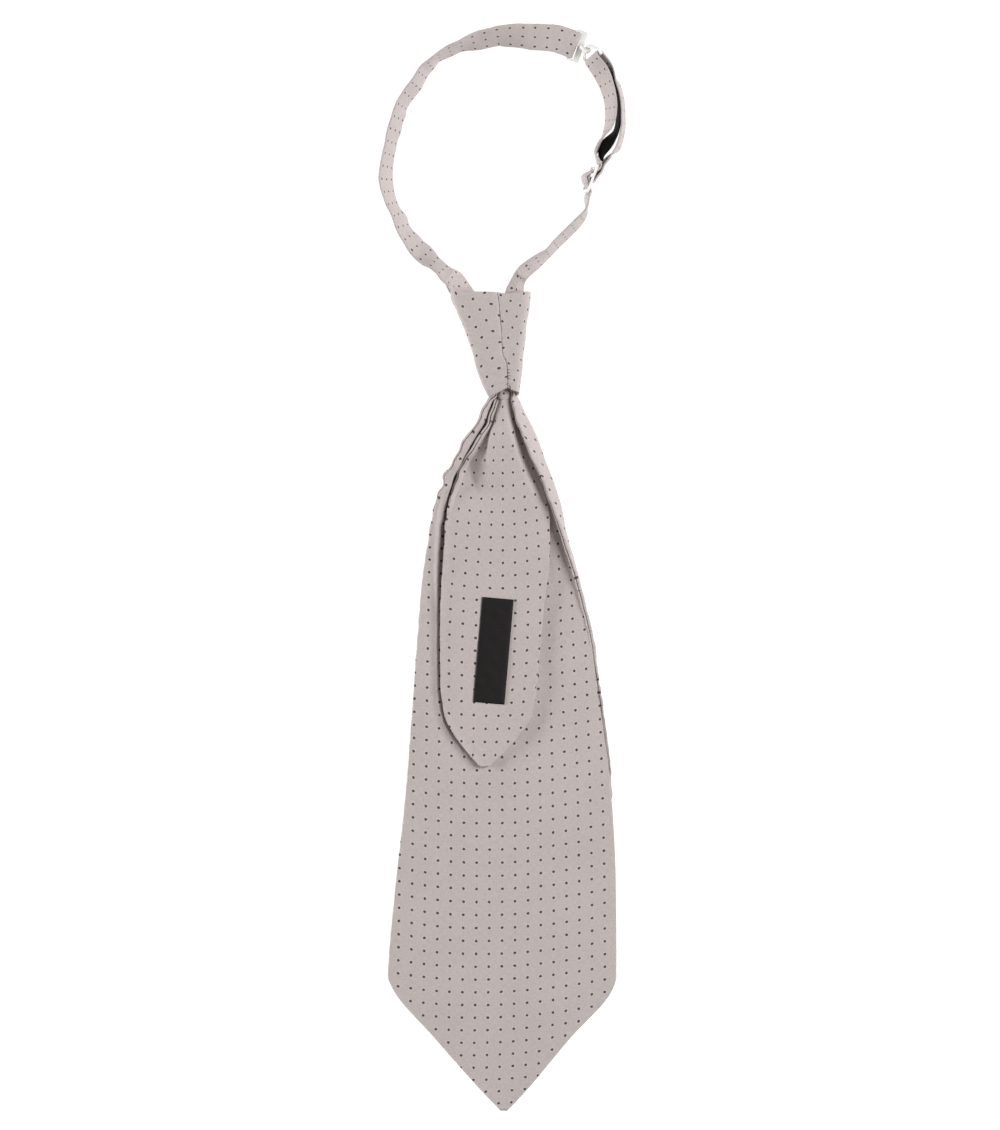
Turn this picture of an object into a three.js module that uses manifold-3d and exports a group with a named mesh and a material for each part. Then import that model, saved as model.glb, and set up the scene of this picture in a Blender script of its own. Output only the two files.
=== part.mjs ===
// A ready-tied ascot lying face down, as its maker lays it out: the wide blade flat on the table, the narrow
// tail with its woven label on top of it, the knot, and the neckband with its hook, eye and slider.
// Millimetres. +X is right, +Y runs from the blade's point to the neckband, +Z is up off the table.
import * as THREE from "three";
import { mergeVertices } from "three/addons/utils/BufferGeometryUtils.js";
import Module from "manifold-3d";

const wasm = await Module();
wasm.setup();

// Driving dimensions
const bladeLength = 394; // knot's lower rim to the blade's point
const bladeWidth = 126;
const tailLength = 204.6; // knot's lower rim to the tail's point
const tailWidth = 60;
const foldLift = 14; // how high the cloth stands where it gathers into the knot
const faceThickness = 1.3; // outer cloth with its interlining
const liningThickness = 0.9;
const clearance = 0.3; // air between two pieces that lie on each other
const hemInset = 0.9; // how far the lining stops short of the outer cloth's edge

const knotHeight = 56.5;
const knotTopWidth = 44.3;
const knotBottomWidth = 16.7;
const knotTopDepth = 21;
const knotBottomDepth = 15.5;
const knotWall = 1.5;
const knotLean = -7.9; // how far the knot's top stands to the left of the centre line
const knotSquareness = 3; // exponent of the knot's rounded section: 2 is an ellipse
const neckLength = 15; // how far the gathered cloth runs up into the knot
const knotOverlap = 6; // how far the wrap's outer end lies over its inner end
const seamSpread = { low: 0.28, high: 0.17 }; // the seam from the knot's middle at the rims, in half widths

const loopWidth = 125.4; // between the neckband's middle lines
const loopHeight = 141.5; // knot's upper rim to the neckband's middle line at the top
const loopLean = -2.2; // the loop's middle from the centre line
const bandWidth = 15;
const bandThickness = 1.2;
const tapeWidth = 12.5;
const tapeThickness = 0.7;
const foldBack = 13; // how far the long band's end is sewn back under itself

const labelLength = 58;
const labelWidth = 17.4;
const labelThickness = 0.4;
const labelDrop = 140.4; // knot's lower rim to the label's middle
const labelOffset = -6.4;
const labelTurn = THREE.MathUtils.degToRad(-5);

const fittingThickness = 1.3; // the white plastic of the hook, eye and slider
const fittingMargin = 0.35; // play between a band's edge and the slot that holds it
const railWidth = 1.1;
const barWidth = 1.6;
const hookBarWidth = 3.4;
const fingerWidth = 3;
const fingerThickness = 1.4;
const eyeNoseWidth = 8;
const eyeMouth = 3.4; // the part of the eye's slot that is left for the hook's finger
const sliderSlot = 5.8;
const sliderAt = 0.06; // place of the slider on the doubled band, from its lower end
const cornerRadius = 1.2;

// Shares of the blade's length, of its width and of foldLift, one row for each section.
// left and right are the outermost cloth. On the left the hem flares out and stands liftLeft high. On the right
// the cloth turns up over turnRight, stands liftRight high and curls back over the tail by curl.
const bladeRows = [
  { drop: 0.0056, left: -0.072, slopeLeft: 0.012, liftLeft: 0.66, turnRight: 0.018, right: 0.05, liftRight: 0.66, curl: 0.024, rest: 0.1, dimple: 0.05 },
  { drop: 0.0335, left: -0.116, slopeLeft: 0.024, liftLeft: 0.84, turnRight: 0.03, right: 0.09, liftRight: 0.88, curl: 0.041, rest: 0.02, dimple: 0.1 },
  { drop: 0.0614, left: -0.168, slopeLeft: 0.032, liftLeft: 0.88, turnRight: 0.042, right: 0.133, liftRight: 0.96, curl: 0.052, rest: 0, dimple: 0.1 },
  { drop: 0.0893, left: -0.221, slopeLeft: 0.034, liftLeft: 0.82, turnRight: 0.05, right: 0.163, liftRight: 0.93, curl: 0.048, rest: 0, dimple: 0.07 },
  { drop: 0.117, left: -0.268, slopeLeft: 0.036, liftLeft: 0.7, turnRight: 0.058, right: 0.198, liftRight: 0.86, curl: 0.04, rest: 0, dimple: 0.04 },
  { drop: 0.138, left: -0.292, slopeLeft: 0.042, liftLeft: 0.48, turnRight: 0.066, right: 0.217, liftRight: 0.8, curl: 0.035, rest: 0, dimple: 0.02 },
  { drop: 0.156, left: -0.31, slopeLeft: 0.055, liftLeft: 0.2, turnRight: 0.073, right: 0.233, liftRight: 0.73, curl: 0.029, rest: 0, dimple: 0 },
  { drop: 0.201, left: -0.336, slopeLeft: 0.075, liftLeft: 0.05, turnRight: 0.09, right: 0.264, liftRight: 0.56, curl: 0.012, rest: 0, dimple: 0 },
  { drop: 0.256, left: -0.362, slopeLeft: 0.1, liftLeft: 0, turnRight: 0.105, right: 0.313, liftRight: 0.35, curl: 0.003, rest: 0, dimple: 0 },
  { drop: 0.34, left: -0.384, slopeLeft: 0.12, liftLeft: 0, turnRight: 0.12, right: 0.375, liftRight: 0.14, curl: 0, rest: 0, dimple: 0 },
  { drop: 0.424, left: -0.403, slopeLeft: 0.13, liftLeft: 0, turnRight: 0.13, right: 0.413, liftRight: 0.04, curl: 0, rest: 0, dimple: 0 },
  { drop: 0.563, left: -0.437, slopeLeft: 0.14, liftLeft: 0, turnRight: 0.14, right: 0.466, liftRight: 0, curl: 0, rest: 0, dimple: 0 },
  { drop: 0.675, left: -0.476, slopeLeft: 0.15, liftLeft: 0, turnRight: 0.15, right: 0.484, liftRight: 0, curl: 0, rest: 0, dimple: 0 },
  { drop: 0.779, left: -0.507, slopeLeft: 0.16, liftLeft: 0, turnRight: 0.16, right: 0.487, liftRight: 0, curl: 0, rest: 0, dimple: 0 },
  { drop: 0.812, left: -0.513, slopeLeft: 0.16, liftLeft: 0, turnRight: 0.16, right: 0.487, liftRight: 0, curl: 0, rest: 0, dimple: 0 },
  { drop: 0.827, left: -0.496, slopeLeft: 0.15, liftLeft: 0, turnRight: 0.15, right: 0.475, liftRight: 0, curl: 0, rest: 0, dimple: 0 },
  { drop: 0.9, left: -0.304, slopeLeft: 0.09, liftLeft: 0, turnRight: 0.09, right: 0.281, liftRight: 0, curl: 0, rest: 0, dimple: 0 },
  { drop: 0.9967, left: -0.03, slopeLeft: 0.006, liftLeft: 0, turnRight: 0.006, right: 0.02, liftRight: 0, curl: 0, rest: 0, dimple: 0 },
  { drop: 1, left: -0.019, slopeLeft: 0.004, liftLeft: 0, turnRight: 0.004, right: 0.008, liftRight: 0, curl: 0, rest: 0, dimple: 0 },
];

// Shares of the tail's length, of its width and of foldLift. The tail leaves the knot as one raised pleat from
// crease to ridge, with a wing on the left whose hem stands liftLeft above the flat tail.
const tailRows = [
  { drop: 0.011, left: -0.083, liftLeft: 0.3, crease: -0.05, creaseLift: 0.14, ridge: 0.01, ridgeLift: 0.42, right: 0.05, liftRight: 0.1 },
  { drop: 0.0645, left: -0.147, liftLeft: 0.5, crease: -0.095, creaseLift: 0.27, ridge: 0.04, ridgeLift: 0.5, right: 0.13, liftRight: 0.16 },
  { drop: 0.118, left: -0.235, liftLeft: 0.62, crease: -0.155, creaseLift: 0.25, ridge: 0.07, ridgeLift: 0.5, right: 0.21, liftRight: 0.16 },
  { drop: 0.172, left: -0.372, liftLeft: 0.53, crease: -0.158, creaseLift: 0.17, ridge: 0.12, ridgeLift: 0.44, right: 0.285, liftRight: 0.21 },
  { drop: 0.226, left: -0.452, liftLeft: 0.42, crease: -0.158, creaseLift: 0.16, ridge: 0.17, ridgeLift: 0.36, right: 0.335, liftRight: 0.2 },
  { drop: 0.28, left: -0.51, liftLeft: 0.34, crease: -0.158, creaseLift: 0.17, ridge: 0.2, ridgeLift: 0.27, right: 0.38, liftRight: 0.17 },
  { drop: 0.333, left: -0.54, liftLeft: 0.27, crease: -0.158, creaseLift: 0.15, ridge: 0.2, ridgeLift: 0.18, right: 0.415, liftRight: 0.11 },
  { drop: 0.44, left: -0.567, liftLeft: 0.17, crease: -0.16, creaseLift: 0.09, ridge: 0.18, ridgeLift: 0.09, right: 0.41, liftRight: 0.08 },
  { drop: 0.54, left: -0.588, liftLeft: 0.09, crease: -0.16, creaseLift: 0.03, ridge: 0.14, ridgeLift: 0.03, right: 0.37, liftRight: 0.03 },
  { drop: 0.64, left: -0.597, liftLeft: 0.03, crease: -0.18, creaseLift: 0, ridge: 0.1, ridgeLift: 0, right: 0.335, liftRight: 0 },
  { drop: 0.78, left: -0.592, liftLeft: 0, crease: -0.2, creaseLift: 0, ridge: 0.05, ridgeLift: 0, right: 0.29, liftRight: 0 },
  { drop: 0.835, left: -0.572, liftLeft: 0, crease: -0.2, creaseLift: 0, ridge: 0.03, ridgeLift: 0, right: 0.262, liftRight: 0 },
  { drop: 0.87, left: -0.545, liftLeft: 0, crease: -0.2, creaseLift: 0, ridge: 0.0, ridgeLift: 0, right: 0.235, liftRight: 0 },
  { drop: 0.9, left: -0.495, liftLeft: 0, crease: -0.2, creaseLift: 0, ridge: -0.02, ridgeLift: 0, right: 0.17, liftRight: 0 },
  { drop: 0.992, left: -0.25, liftLeft: 0, crease: -0.2, creaseLift: 0, ridge: -0.17, ridgeLift: 0, right: -0.12, liftRight: 0 },
  { drop: 1, left: -0.215, liftLeft: 0, crease: -0.2, creaseLift: 0, ridge: -0.18, ridgeLift: 0, right: -0.17, liftRight: 0 },
];

// How far each side of the knot has spread from its lower rim (0) to its upper rim (1).
const knotRows = [
  { rise: 0, left: 0, right: 0 },
  { rise: 0.106, left: 0.162, right: 0.12 },
  { rise: 0.25, left: 0.305, right: 0.26 },
  { rise: 0.444, left: 0.452, right: 0.42 },
  { rise: 0.637, left: 0.62, right: 0.59 },
  { rise: 0.83, left: 0.843, right: 0.83 },
  { rise: 0.946, left: 0.99, right: 0.95 },
  { rise: 1, left: 1, right: 1 },
];

// Routes of the neckband: across in half widths of the loop from its middle, up in loop heights from the knot's
// upper rim, tilt of the band's width in degrees (0 lies flat, 90 stands on its edge, above 90 leans outwards).
const longBandRoute = [
  { across: -0.205, up: -0.1, tilt: 38 },
  { across: -0.26, up: -0.05, tilt: 42 },
  { across: -0.289, up: -0.006, tilt: 49 },
  { across: -0.4, up: 0.044, tilt: 46 },
  { across: -0.518, up: 0.086, tilt: 50 },
  { across: -0.662, up: 0.136, tilt: 46 },
  { across: -0.777, up: 0.197, tilt: 50 },
  { across: -0.871, up: 0.265, tilt: 59 },
  { across: -0.95, up: 0.337, tilt: 66 },
  { across: -0.999, up: 0.414, tilt: 61 },
  { across: -1, up: 0.493, tilt: 61 },
  { across: -0.974, up: 0.571, tilt: 66 },
  { across: -0.925, up: 0.646, tilt: 61 },
  { across: -0.864, up: 0.721, tilt: 63 },
  { across: -0.779, up: 0.793, tilt: 62 },
  { across: -0.672, up: 0.86, tilt: 67 },
  { across: -0.535, up: 0.919, tilt: 73 },
  { across: -0.364, up: 0.96, tilt: 66 },
  { across: -0.175, up: 0.984, tilt: 49 },
  { across: 0.018, up: 0.997, tilt: 38 },
  { across: 0.219, up: 0.999, tilt: 25 },
  { across: 0.43, up: 0.989, tilt: 14 },
  { across: 0.56, up: 0.979, tilt: 12 },
  { across: 0.63, up: 0.968, tilt: 12 },
];
const shortBandRoute = [
  { across: 0.105, up: -0.085, tilt: 140 },
  { across: 0.12, up: -0.045, tilt: 136 },
  { across: 0.132, up: 0, tilt: 131 },
  { across: 0.178, up: 0.047, tilt: 126 },
  { across: 0.245, up: 0.09, tilt: 120 },
  { across: 0.326, up: 0.119, tilt: 112 },
  { across: 0.448, up: 0.162, tilt: 106 },
  { across: 0.562, up: 0.212, tilt: 104 },
  { across: 0.66, up: 0.26, tilt: 103 },
  { across: 0.74, up: 0.311, tilt: 98 },
  { across: 0.776, up: 0.352, tilt: 90 },
];
// The doubled stretch of the short band, up to the eye. inner and outer are how far each of the two layers
// lies from the route, in band thicknesses, and lean is how much further the inner one is tilted.
const doubledRoute = [
  { across: 0.79, up: 0.393, tilt: 83, inner: 1.6, outer: 2, lean: 0 },
  { across: 0.828, up: 0.442, tilt: 81, inner: 2.6, outer: 2.2, lean: 10 },
  { across: 0.872, up: 0.491, tilt: 78, inner: 4.2, outer: 2, lean: 28 },
  { across: 0.915, up: 0.54, tilt: 76, inner: 4.2, outer: 1.6, lean: 34 },
  { across: 0.958, up: 0.59, tilt: 72, inner: 3.4, outer: 2, lean: 22 },
  { across: 0.99, up: 0.64, tilt: 66, inner: 2.2, outer: 1.8, lean: 2 },
  { across: 1, up: 0.695, tilt: 60, inner: 1.6, outer: 1.4, lean: 0 },
  { across: 0.989, up: 0.755, tilt: 57, inner: 1.4, outer: 1.4, lean: 0 },
  { across: 0.945, up: 0.82, tilt: 53, inner: 1.4, outer: 1.4, lean: 0 },
  { across: 0.886, up: 0.87, tilt: 56, inner: 1.4, outer: 1.4, lean: 0 },
  { across: 0.82, up: 0.91, tilt: 60, inner: 1.6, outer: 1.6, lean: 0 },
];

// Levels of the layers where they lie flat on each other
const layerGap = 0.6 * clearance; // from the seam surface between cloth and lining to each of them
const under = faceThickness + layerGap; // seam surface to the outer cloth's face
const over = liningThickness + layerGap; // seam surface to the lining's face
const bladeLevel = under;
const tailLevel = bladeLevel + over + clearance + under;

// The value of a column at a share of the table's key, without overshoot between rows.
function along(rows, key, column, at) {
  const last = rows.length - 1;
  if (at <= rows[0][key]) return rows[0][column];
  if (at >= rows[last][key]) return rows[last][column];
  const i = rows.findIndex((row) => row[key] > at) - 1;
  const slope = (k) => (rows[k + 1][column] - rows[k][column]) / (rows[k + 1][key] - rows[k][key]);
  const tangent = (k) => {
    if (k === 0) return slope(0);
    if (k === last) return slope(last - 1);
    const product = slope(k - 1) * slope(k);
    return product <= 0 ? 0 : (2 * product) / (slope(k - 1) + slope(k));
  };
  const span = rows[i + 1][key] - rows[i][key];
  const t = (at - rows[i][key]) / span;
  return (
    rows[i][column] * (1 + 2 * t) * (1 - t) ** 2 +
    tangent(i) * span * t * (1 - t) ** 2 +
    rows[i + 1][column] * t * t * (3 - 2 * t) -
    tangent(i + 1) * span * t * t * (1 - t)
  );
}

function columnsAt(rows, key, at) {
  return Object.fromEntries(Object.keys(rows[0]).map((column) => [column, along(rows, key, column, at)]));
}

// A closed solid from a grid of points on its underside and one on its top, both as rows of equal length.
// A grid whose rows close on themselves makes a tube.
function solidFromGrids(low, high) {
  const rows = low.length;
  const columns = low[0].length;
  const positions = [...low.flat(), ...high.flat()].flatMap((p) => [p.x, p.y, p.z]);
  const index = [];
  const at = (layer, r, c) => layer * rows * columns + r * columns + c;
  const quad = (a, b, c, d) => index.push(a, b, c, a, c, d);
  for (let r = 0; r < rows - 1; r++) {
    for (let c = 0; c < columns - 1; c++) {
      quad(at(1, r, c), at(1, r, c + 1), at(1, r + 1, c + 1), at(1, r + 1, c));
      quad(at(0, r, c), at(0, r + 1, c), at(0, r + 1, c + 1), at(0, r, c + 1));
    }
    quad(at(0, r, 0), at(1, r, 0), at(1, r + 1, 0), at(0, r + 1, 0));
    quad(at(1, r, columns - 1), at(0, r, columns - 1), at(0, r + 1, columns - 1), at(1, r + 1, columns - 1));
  }
  for (let c = 0; c < columns - 1; c++) {
    quad(at(0, 0, c), at(0, 0, c + 1), at(1, 0, c + 1), at(1, 0, c));
    quad(at(1, rows - 1, c), at(1, rows - 1, c + 1), at(0, rows - 1, c + 1), at(0, rows - 1, c));
  }
  const geometry = new THREE.BufferGeometry();
  geometry.setAttribute("position", new THREE.Float32BufferAttribute(positions, 3));
  geometry.setIndex(index);
  const facing = signedVolume(positions, index) < 0;
  if (facing) {
    for (let i = 0; i < index.length; i += 3) [index[i + 1], index[i + 2]] = [index[i + 2], index[i + 1]];
    geometry.setIndex(index);
  }
  return geometry;
}

function signedVolume(positions, index) {
  const point = (i) => new THREE.Vector3().fromArray(positions, 3 * i);
  let sum = 0;
  for (let i = 0; i < index.length; i += 3) {
    sum += point(index[i]).dot(point(index[i + 1]).cross(point(index[i + 2])));
  }
  return sum / 6;
}

// Points spread over a section from hem to hem, closer together towards the hems, with the cloth's upward
// normal. The cloth never sags below the lowest point that it is laid through.
function sectionPoints(controls, y, columns, inset) {
  const curve = new THREE.CatmullRomCurve3(
    controls.map(([x, z]) => new THREE.Vector3(x, y, z)),
    false,
    "centripetal",
  );
  const lowest = Math.min(...controls.map(([, z]) => z));
  const points = Array.from({ length: columns }, (_, i) => {
    const t = i / (columns - 1);
    const point = curve.getPointAt(t - 0.075 * Math.sin(2 * Math.PI * t));
    point.z = Math.max(point.z, lowest);
    return point;
  });
  const section = points.map((point, i) => {
    const chord = points[Math.min(i + 1, columns - 1)].clone().sub(points[Math.max(i - 1, 0)]);
    return { point, normal: new THREE.Vector3(-chord.z, 0, chord.x).normalize() };
  });
  const shortened = (end, next) => {
    const share = Math.min(inset / end.point.distanceTo(next.point), 0.6);
    return { point: end.point.clone().lerp(next.point, share), normal: end.normal.clone().lerp(next.normal, share) };
  };
  return [shortened(section[0], section[1]), ...section.slice(1, -1), shortened(section.at(-1), section.at(-2))];
}

// One layer of a lined panel, between two distances from its seam surface.
function clothLayer(sectionAt, drops, columns, inset, from, to) {
  const sections = drops.map((drop) => sectionPoints(sectionAt(drop), -drop, columns, inset));
  const shifted = (distance) =>
    sections.map((section) => section.map(({ point, normal }) => point.clone().addScaledVector(normal, distance)));
  return solidFromGrids(shifted(from), shifted(to));
}

// Drops of a panel's sections: up into the knot, at every row of its table, and between rows.
function panelDrops(rows, length, between, inset) {
  const outside = rows.flatMap((row, i) => {
    if (i === rows.length - 1) return [row.drop * length - inset];
    const next = rows[i + 1].drop;
    const steps = between(row.drop);
    return Array.from({ length: steps }, (_, k) => (row.drop + ((next - row.drop) * k) / steps) * length);
  });
  return [-neckLength, 0, (rows[0].drop * length) / 2, ...outside];
}

// Inside of the knot's lower rim, which the gathered cloth has to pass.
const neckMiddle = -0.04 * knotBottomWidth;
const neckHalf = knotBottomWidth / 2 - knotWall - clearance - under - layerGap; // the blade's seam surface
const neckDepth = knotBottomDepth / 2 - knotWall - clearance - under - layerGap;
const neckFloor = knotBottomDepth / 2 - neckDepth;
const neckCeiling = knotBottomDepth - 2 * (knotWall + clearance) - over - layerGap; // the tail's seam surface

// A place on the rounded section of the blade's gathered neck, at an angle up from the right.
function neckPoint(degrees) {
  const [x, z] = squircle(THREE.MathUtils.degToRad(degrees), neckHalf, neckDepth);
  return [neckMiddle + x, knotBottomDepth / 2 + z];
}

function bladeSection(drop) {
  const row = columnsAt(bladeRows, "drop", drop / bladeLength);
  const open = {
    hemLeft: [row.left * bladeWidth, bladeLevel + (row.rest + row.liftLeft) * foldLift],
    slopeLeft: [(row.left + row.slopeLeft) * bladeWidth, bladeLevel + (row.rest + 0.42 * row.liftLeft) * foldLift],
    footLeft: [(row.left + 1.9 * row.slopeLeft) * bladeWidth, bladeLevel + row.rest * foldLift],
    footRight: [(row.right - row.turnRight) * bladeWidth, bladeLevel + row.rest * foldLift],
    sideRight: [row.right * bladeWidth, bladeLevel + (row.rest + 0.5 * row.liftRight) * foldLift],
    crownRight: [(row.right - 0.4 * row.curl) * bladeWidth, bladeLevel + (row.rest + row.liftRight) * foldLift],
    hemRight: [(row.right - row.curl) * bladeWidth, bladeLevel + (row.rest + 0.88 * row.liftRight) * foldLift],
  };
  const neck = {
    hemLeft: neckPoint(150),
    slopeLeft: neckPoint(186),
    footLeft: neckPoint(228),
    footRight: neckPoint(312),
    sideRight: neckPoint(354),
    crownRight: neckPoint(378),
    hemRight: neckPoint(390),
  };
  const gathered = 1 - THREE.MathUtils.smoothstep(drop, 0, bladeRows[0].drop * bladeLength);
  const mixed = Object.fromEntries(
    Object.keys(open).map((name) => [name, open[name].map((v, k) => v + (neck[name][k] - v) * gathered)]),
  );
  const dimple = row.dimple * foldLift * (1 - gathered);
  const flat = (mixed.footLeft[1] + mixed.footRight[1]) / 2;
  const middle = [
    (mixed.footLeft[0] + mixed.footRight[0]) / 2,
    flat + dimple + (neckFloor - flat) * gathered,
  ];
  return [
    mixed.hemLeft,
    mixed.slopeLeft,
    mixed.footLeft,
    middle,
    mixed.footRight,
    mixed.sideRight,
    mixed.crownRight,
    mixed.hemRight,
  ];
}

function tailSection(drop) {
  const row = columnsAt(tailRows, "drop", drop / tailLength);
  const z = (lift) => tailLevel + lift * foldLift;
  const open = [
    [row.left * tailWidth, z(row.liftLeft)],
    [(0.45 * row.left + 0.55 * row.crease) * tailWidth, z(0.3 * row.liftLeft + 0.7 * row.creaseLift)],
    [row.crease * tailWidth, z(row.creaseLift)],
    [(0.5 * row.crease + 0.5 * row.ridge) * tailWidth, z(0.28 * row.creaseLift + 0.72 * row.ridgeLift)],
    [row.ridge * tailWidth, z(row.ridgeLift)],
    [(0.45 * row.ridge + 0.55 * row.right) * tailWidth, z(0.4 * row.ridgeLift + 0.6 * row.liftRight)],
    [row.right * tailWidth, z(row.liftRight)],
  ];
  const half = neckHalf - over - clearance - over - layerGap;
  const foot = neckFloor + over + clearance + 0.35 * neckDepth;
  const height = neckCeiling - foot;
  const neck = [
    [-half, foot],
    [-half, foot + 0.35 * height],
    [-half, foot + 0.7 * height],
    [-0.6 * half, neckCeiling],
    [0.6 * half, neckCeiling],
    [half, foot + 0.6 * height],
    [half, foot],
  ].map(([x, z]) => [neckMiddle + x, z]);
  const gathered = 1 - THREE.MathUtils.smoothstep(drop, 0, tailRows[0].drop * tailLength);
  return open.map((point, i) => point.map((v, k) => v + (neck[i][k] - v) * gathered));
}

function makeBlade(face) {
  const inset = face ? 0 : hemInset;
  const drops = panelDrops(bladeRows, bladeLength, (drop) => (drop < 0.25 ? 2 : 1), inset);
  const [from, to] = face ? [-under, -layerGap] : [layerGap, over];
  return clothLayer(bladeSection, drops, 17, inset, from, to);
}

function makeTail(face) {
  const inset = face ? 0 : hemInset;
  const drops = panelDrops(tailRows, tailLength, (drop) => (drop < 0.3 ? 2 : 1), inset);
  const [from, to] = face ? [-under, -layerGap] : [layerGap, over];
  return clothLayer(tailSection, drops, 14, inset, from, to);
}

// Height of the tail's upper face at a place on it.
function tailTop(x, drop) {
  const points = sectionPoints(tailSection(drop), 0, 41, 0).map(({ point }) => point);
  const i = points.findIndex((p, k) => k + 1 < points.length && p.x <= x && points[k + 1].x > x);
  const t = (x - points[i].x) / (points[i + 1].x - points[i].x);
  return THREE.MathUtils.lerp(points[i].z, points[i + 1].z, t) + over;
}

function makeLabel() {
  const rows = 7;
  const columns = 3;
  const grid = (height) =>
    Array.from({ length: rows }, (_, r) =>
      Array.from({ length: columns }, (_, c) => {
        const place = new THREE.Vector2(
          (c / (columns - 1) - 0.5) * labelWidth,
          (0.5 - r / (rows - 1)) * labelLength,
        ).rotateAround(new THREE.Vector2(), labelTurn);
        const x = labelOffset + place.x;
        const drop = labelDrop - place.y;
        return new THREE.Vector3(x, -drop, tailTop(x, drop) + clearance + height);
      }),
    );
  return solidFromGrids(grid(0), grid(labelThickness));
}

// The knot's section at a share of its height: middle, half width and half depth of the wrap's outside.
function knotSection(rise) {
  const row = columnsAt(knotRows, "rise", rise);
  const top = { left: knotLean - knotTopWidth / 2, right: knotLean + knotTopWidth / 2 };
  const bottom = { left: neckMiddle - knotBottomWidth / 2, right: neckMiddle + knotBottomWidth / 2 };
  const left = THREE.MathUtils.lerp(bottom.left, top.left, row.left);
  const right = THREE.MathUtils.lerp(bottom.right, top.right, row.right);
  const depth = THREE.MathUtils.lerp(knotBottomDepth, knotTopDepth, rise);
  return { middle: (left + right) / 2, halfWidth: (right - left) / 2, halfDepth: depth / 2 };
}

function squircle(angle, halfWidth, halfDepth) {
  const power = (v) => Math.sign(v) * Math.abs(v) ** (2 / knotSquareness);
  return [halfWidth * power(Math.cos(angle)), halfDepth * power(Math.sin(angle))];
}

// The wrap is one strip: its inner end tucks under its outer end at the seam on the back.
function makeKnot() {
  const steps = 32;
  const grid = (distance) =>
    knotRows.map(({ rise }) => {
      const { middle, halfWidth, halfDepth } = knotSection(rise);
      const seam = Math.acos(THREE.MathUtils.lerp(seamSpread.low, seamSpread.high, rise) ** (knotSquareness / 2));
      const overlap = knotOverlap / halfWidth;
      return Array.from({ length: steps + 1 }, (_, i) => {
        const turned = (i / steps) * (2 * Math.PI + overlap);
        const tuck = 1 - THREE.MathUtils.smoothstep(turned, 0.9 * overlap, 2.2 * overlap);
        const inwards = distance + tuck * (knotWall + clearance);
        const [x, z] = squircle(seam - overlap + turned, halfWidth - inwards, halfDepth - inwards);
        return new THREE.Vector3(middle + x, rise * knotHeight, halfDepth + z);
      });
    });
  return solidFromGrids(grid(knotWall), grid(0));
}

// Height of the knot's inside under a place in it; beyond its upper rim this falls away to the table.
function knotFloor(x, y) {
  const { middle, halfWidth, halfDepth } = knotSection(THREE.MathUtils.clamp(y / knotHeight, 0, 1));
  const share = Math.min(Math.abs(x - middle) / (halfWidth - knotWall), 0.97);
  const sag = (halfDepth - knotWall) * (1 - share ** knotSquareness) ** (1 / knotSquareness);
  const beyond = THREE.MathUtils.smoothstep(y, knotHeight + bandWidth / 2, knotHeight + 2 * bandWidth);
  return (halfDepth - sag + clearance) * (1 - beyond);
}

const turnRadius = Math.hypot(barWidth, fittingThickness) / 2 + clearance + bandThickness / 2;
const fittingHalfWidth = bandWidth / 2 + fittingMargin + railWidth;

// Stations along a route: the middle of the band, its direction of travel, of its width (from the edge that lies
// lower to the one that stands higher) and of its thickness. side is 1 where the loop's outside is on the right
// of the travel. reserve(station) is what else has to fit below: [across the thickness, along the width].
function stationsOn(route, steps, side, reserve) {
  const plan = new THREE.CatmullRomCurve3(
    route.map(
      ({ across, up }) =>
        new THREE.Vector3(loopLean + (across * loopWidth) / 2, knotHeight + up * loopHeight, 0),
    ),
    false,
    "centripetal",
  );
  const rows = route.map((row, i) => ({ ...row, place: i / (route.length - 1) }));
  const length = plan.getLength();
  return Array.from({ length: steps + 1 }, (_, i) => {
    const share = i / steps;
    const place = plan.getUtoTmapping(share);
    const row = columnsAt(rows, "place", place);
    const middle = plan.getPoint(place);
    const travel = plan.getTangent(place).normalize();
    const tilt = THREE.MathUtils.degToRad(row.tilt);
    const width = new THREE.Vector3(travel.y, -travel.x, 0).multiplyScalar(side * Math.cos(tilt));
    width.z = Math.sin(tilt);
    const normal = new THREE.Vector3().crossVectors(width, travel).normalize();
    const [below, beside] = reserve({ ...row, toEnd: (1 - share) * length });
    const lowEdge = middle.clone().addScaledVector(width, -bandWidth / 2);
    middle.z =
      knotFloor(lowEdge.x, lowEdge.y) +
      (bandWidth / 2 + beside) * Math.sin(tilt) +
      (bandThickness / 2 + below) * Math.abs(Math.cos(tilt));
    return { ...row, point: middle, travel, width, normal, along: share * length, toEnd: (1 - share) * length };
  });
}

function shifted(station, distance) {
  return { ...station, point: station.point.clone().addScaledVector(station.normal, distance) };
}

// A station with its band tilted further about its own middle.
function leaning(station, degrees) {
  const turn = (direction) =>
    direction.clone().applyAxisAngle(station.travel, -THREE.MathUtils.degToRad(degrees));
  return { ...station, width: turn(station.width), normal: turn(station.normal) };
}

// A flat strip with eased edges along a list of stations.
function ribbon(stations, width, thickness) {
  const profile = [
    [-0.5, 0.2],
    [-0.46, 0.5],
    [0.46, 0.5],
    [0.5, 0.2],
  ];
  const last = stations.length - 1;
  const normals = stations.map((station, i) => {
    const heading = stations[Math.min(i + 1, last)].point.clone().sub(stations[Math.max(i - 1, 0)].point);
    return new THREE.Vector3().crossVectors(station.width, heading).normalize();
  });
  const grid = (side) =>
    stations.map((station, i) =>
      profile.map(([u, v]) =>
        station.point
          .clone()
          .addScaledVector(station.width, u * width)
          .addScaledVector(normals[i], side * v * thickness),
      ),
    );
  return solidFromGrids(grid(-1), grid(1));
}

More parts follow.
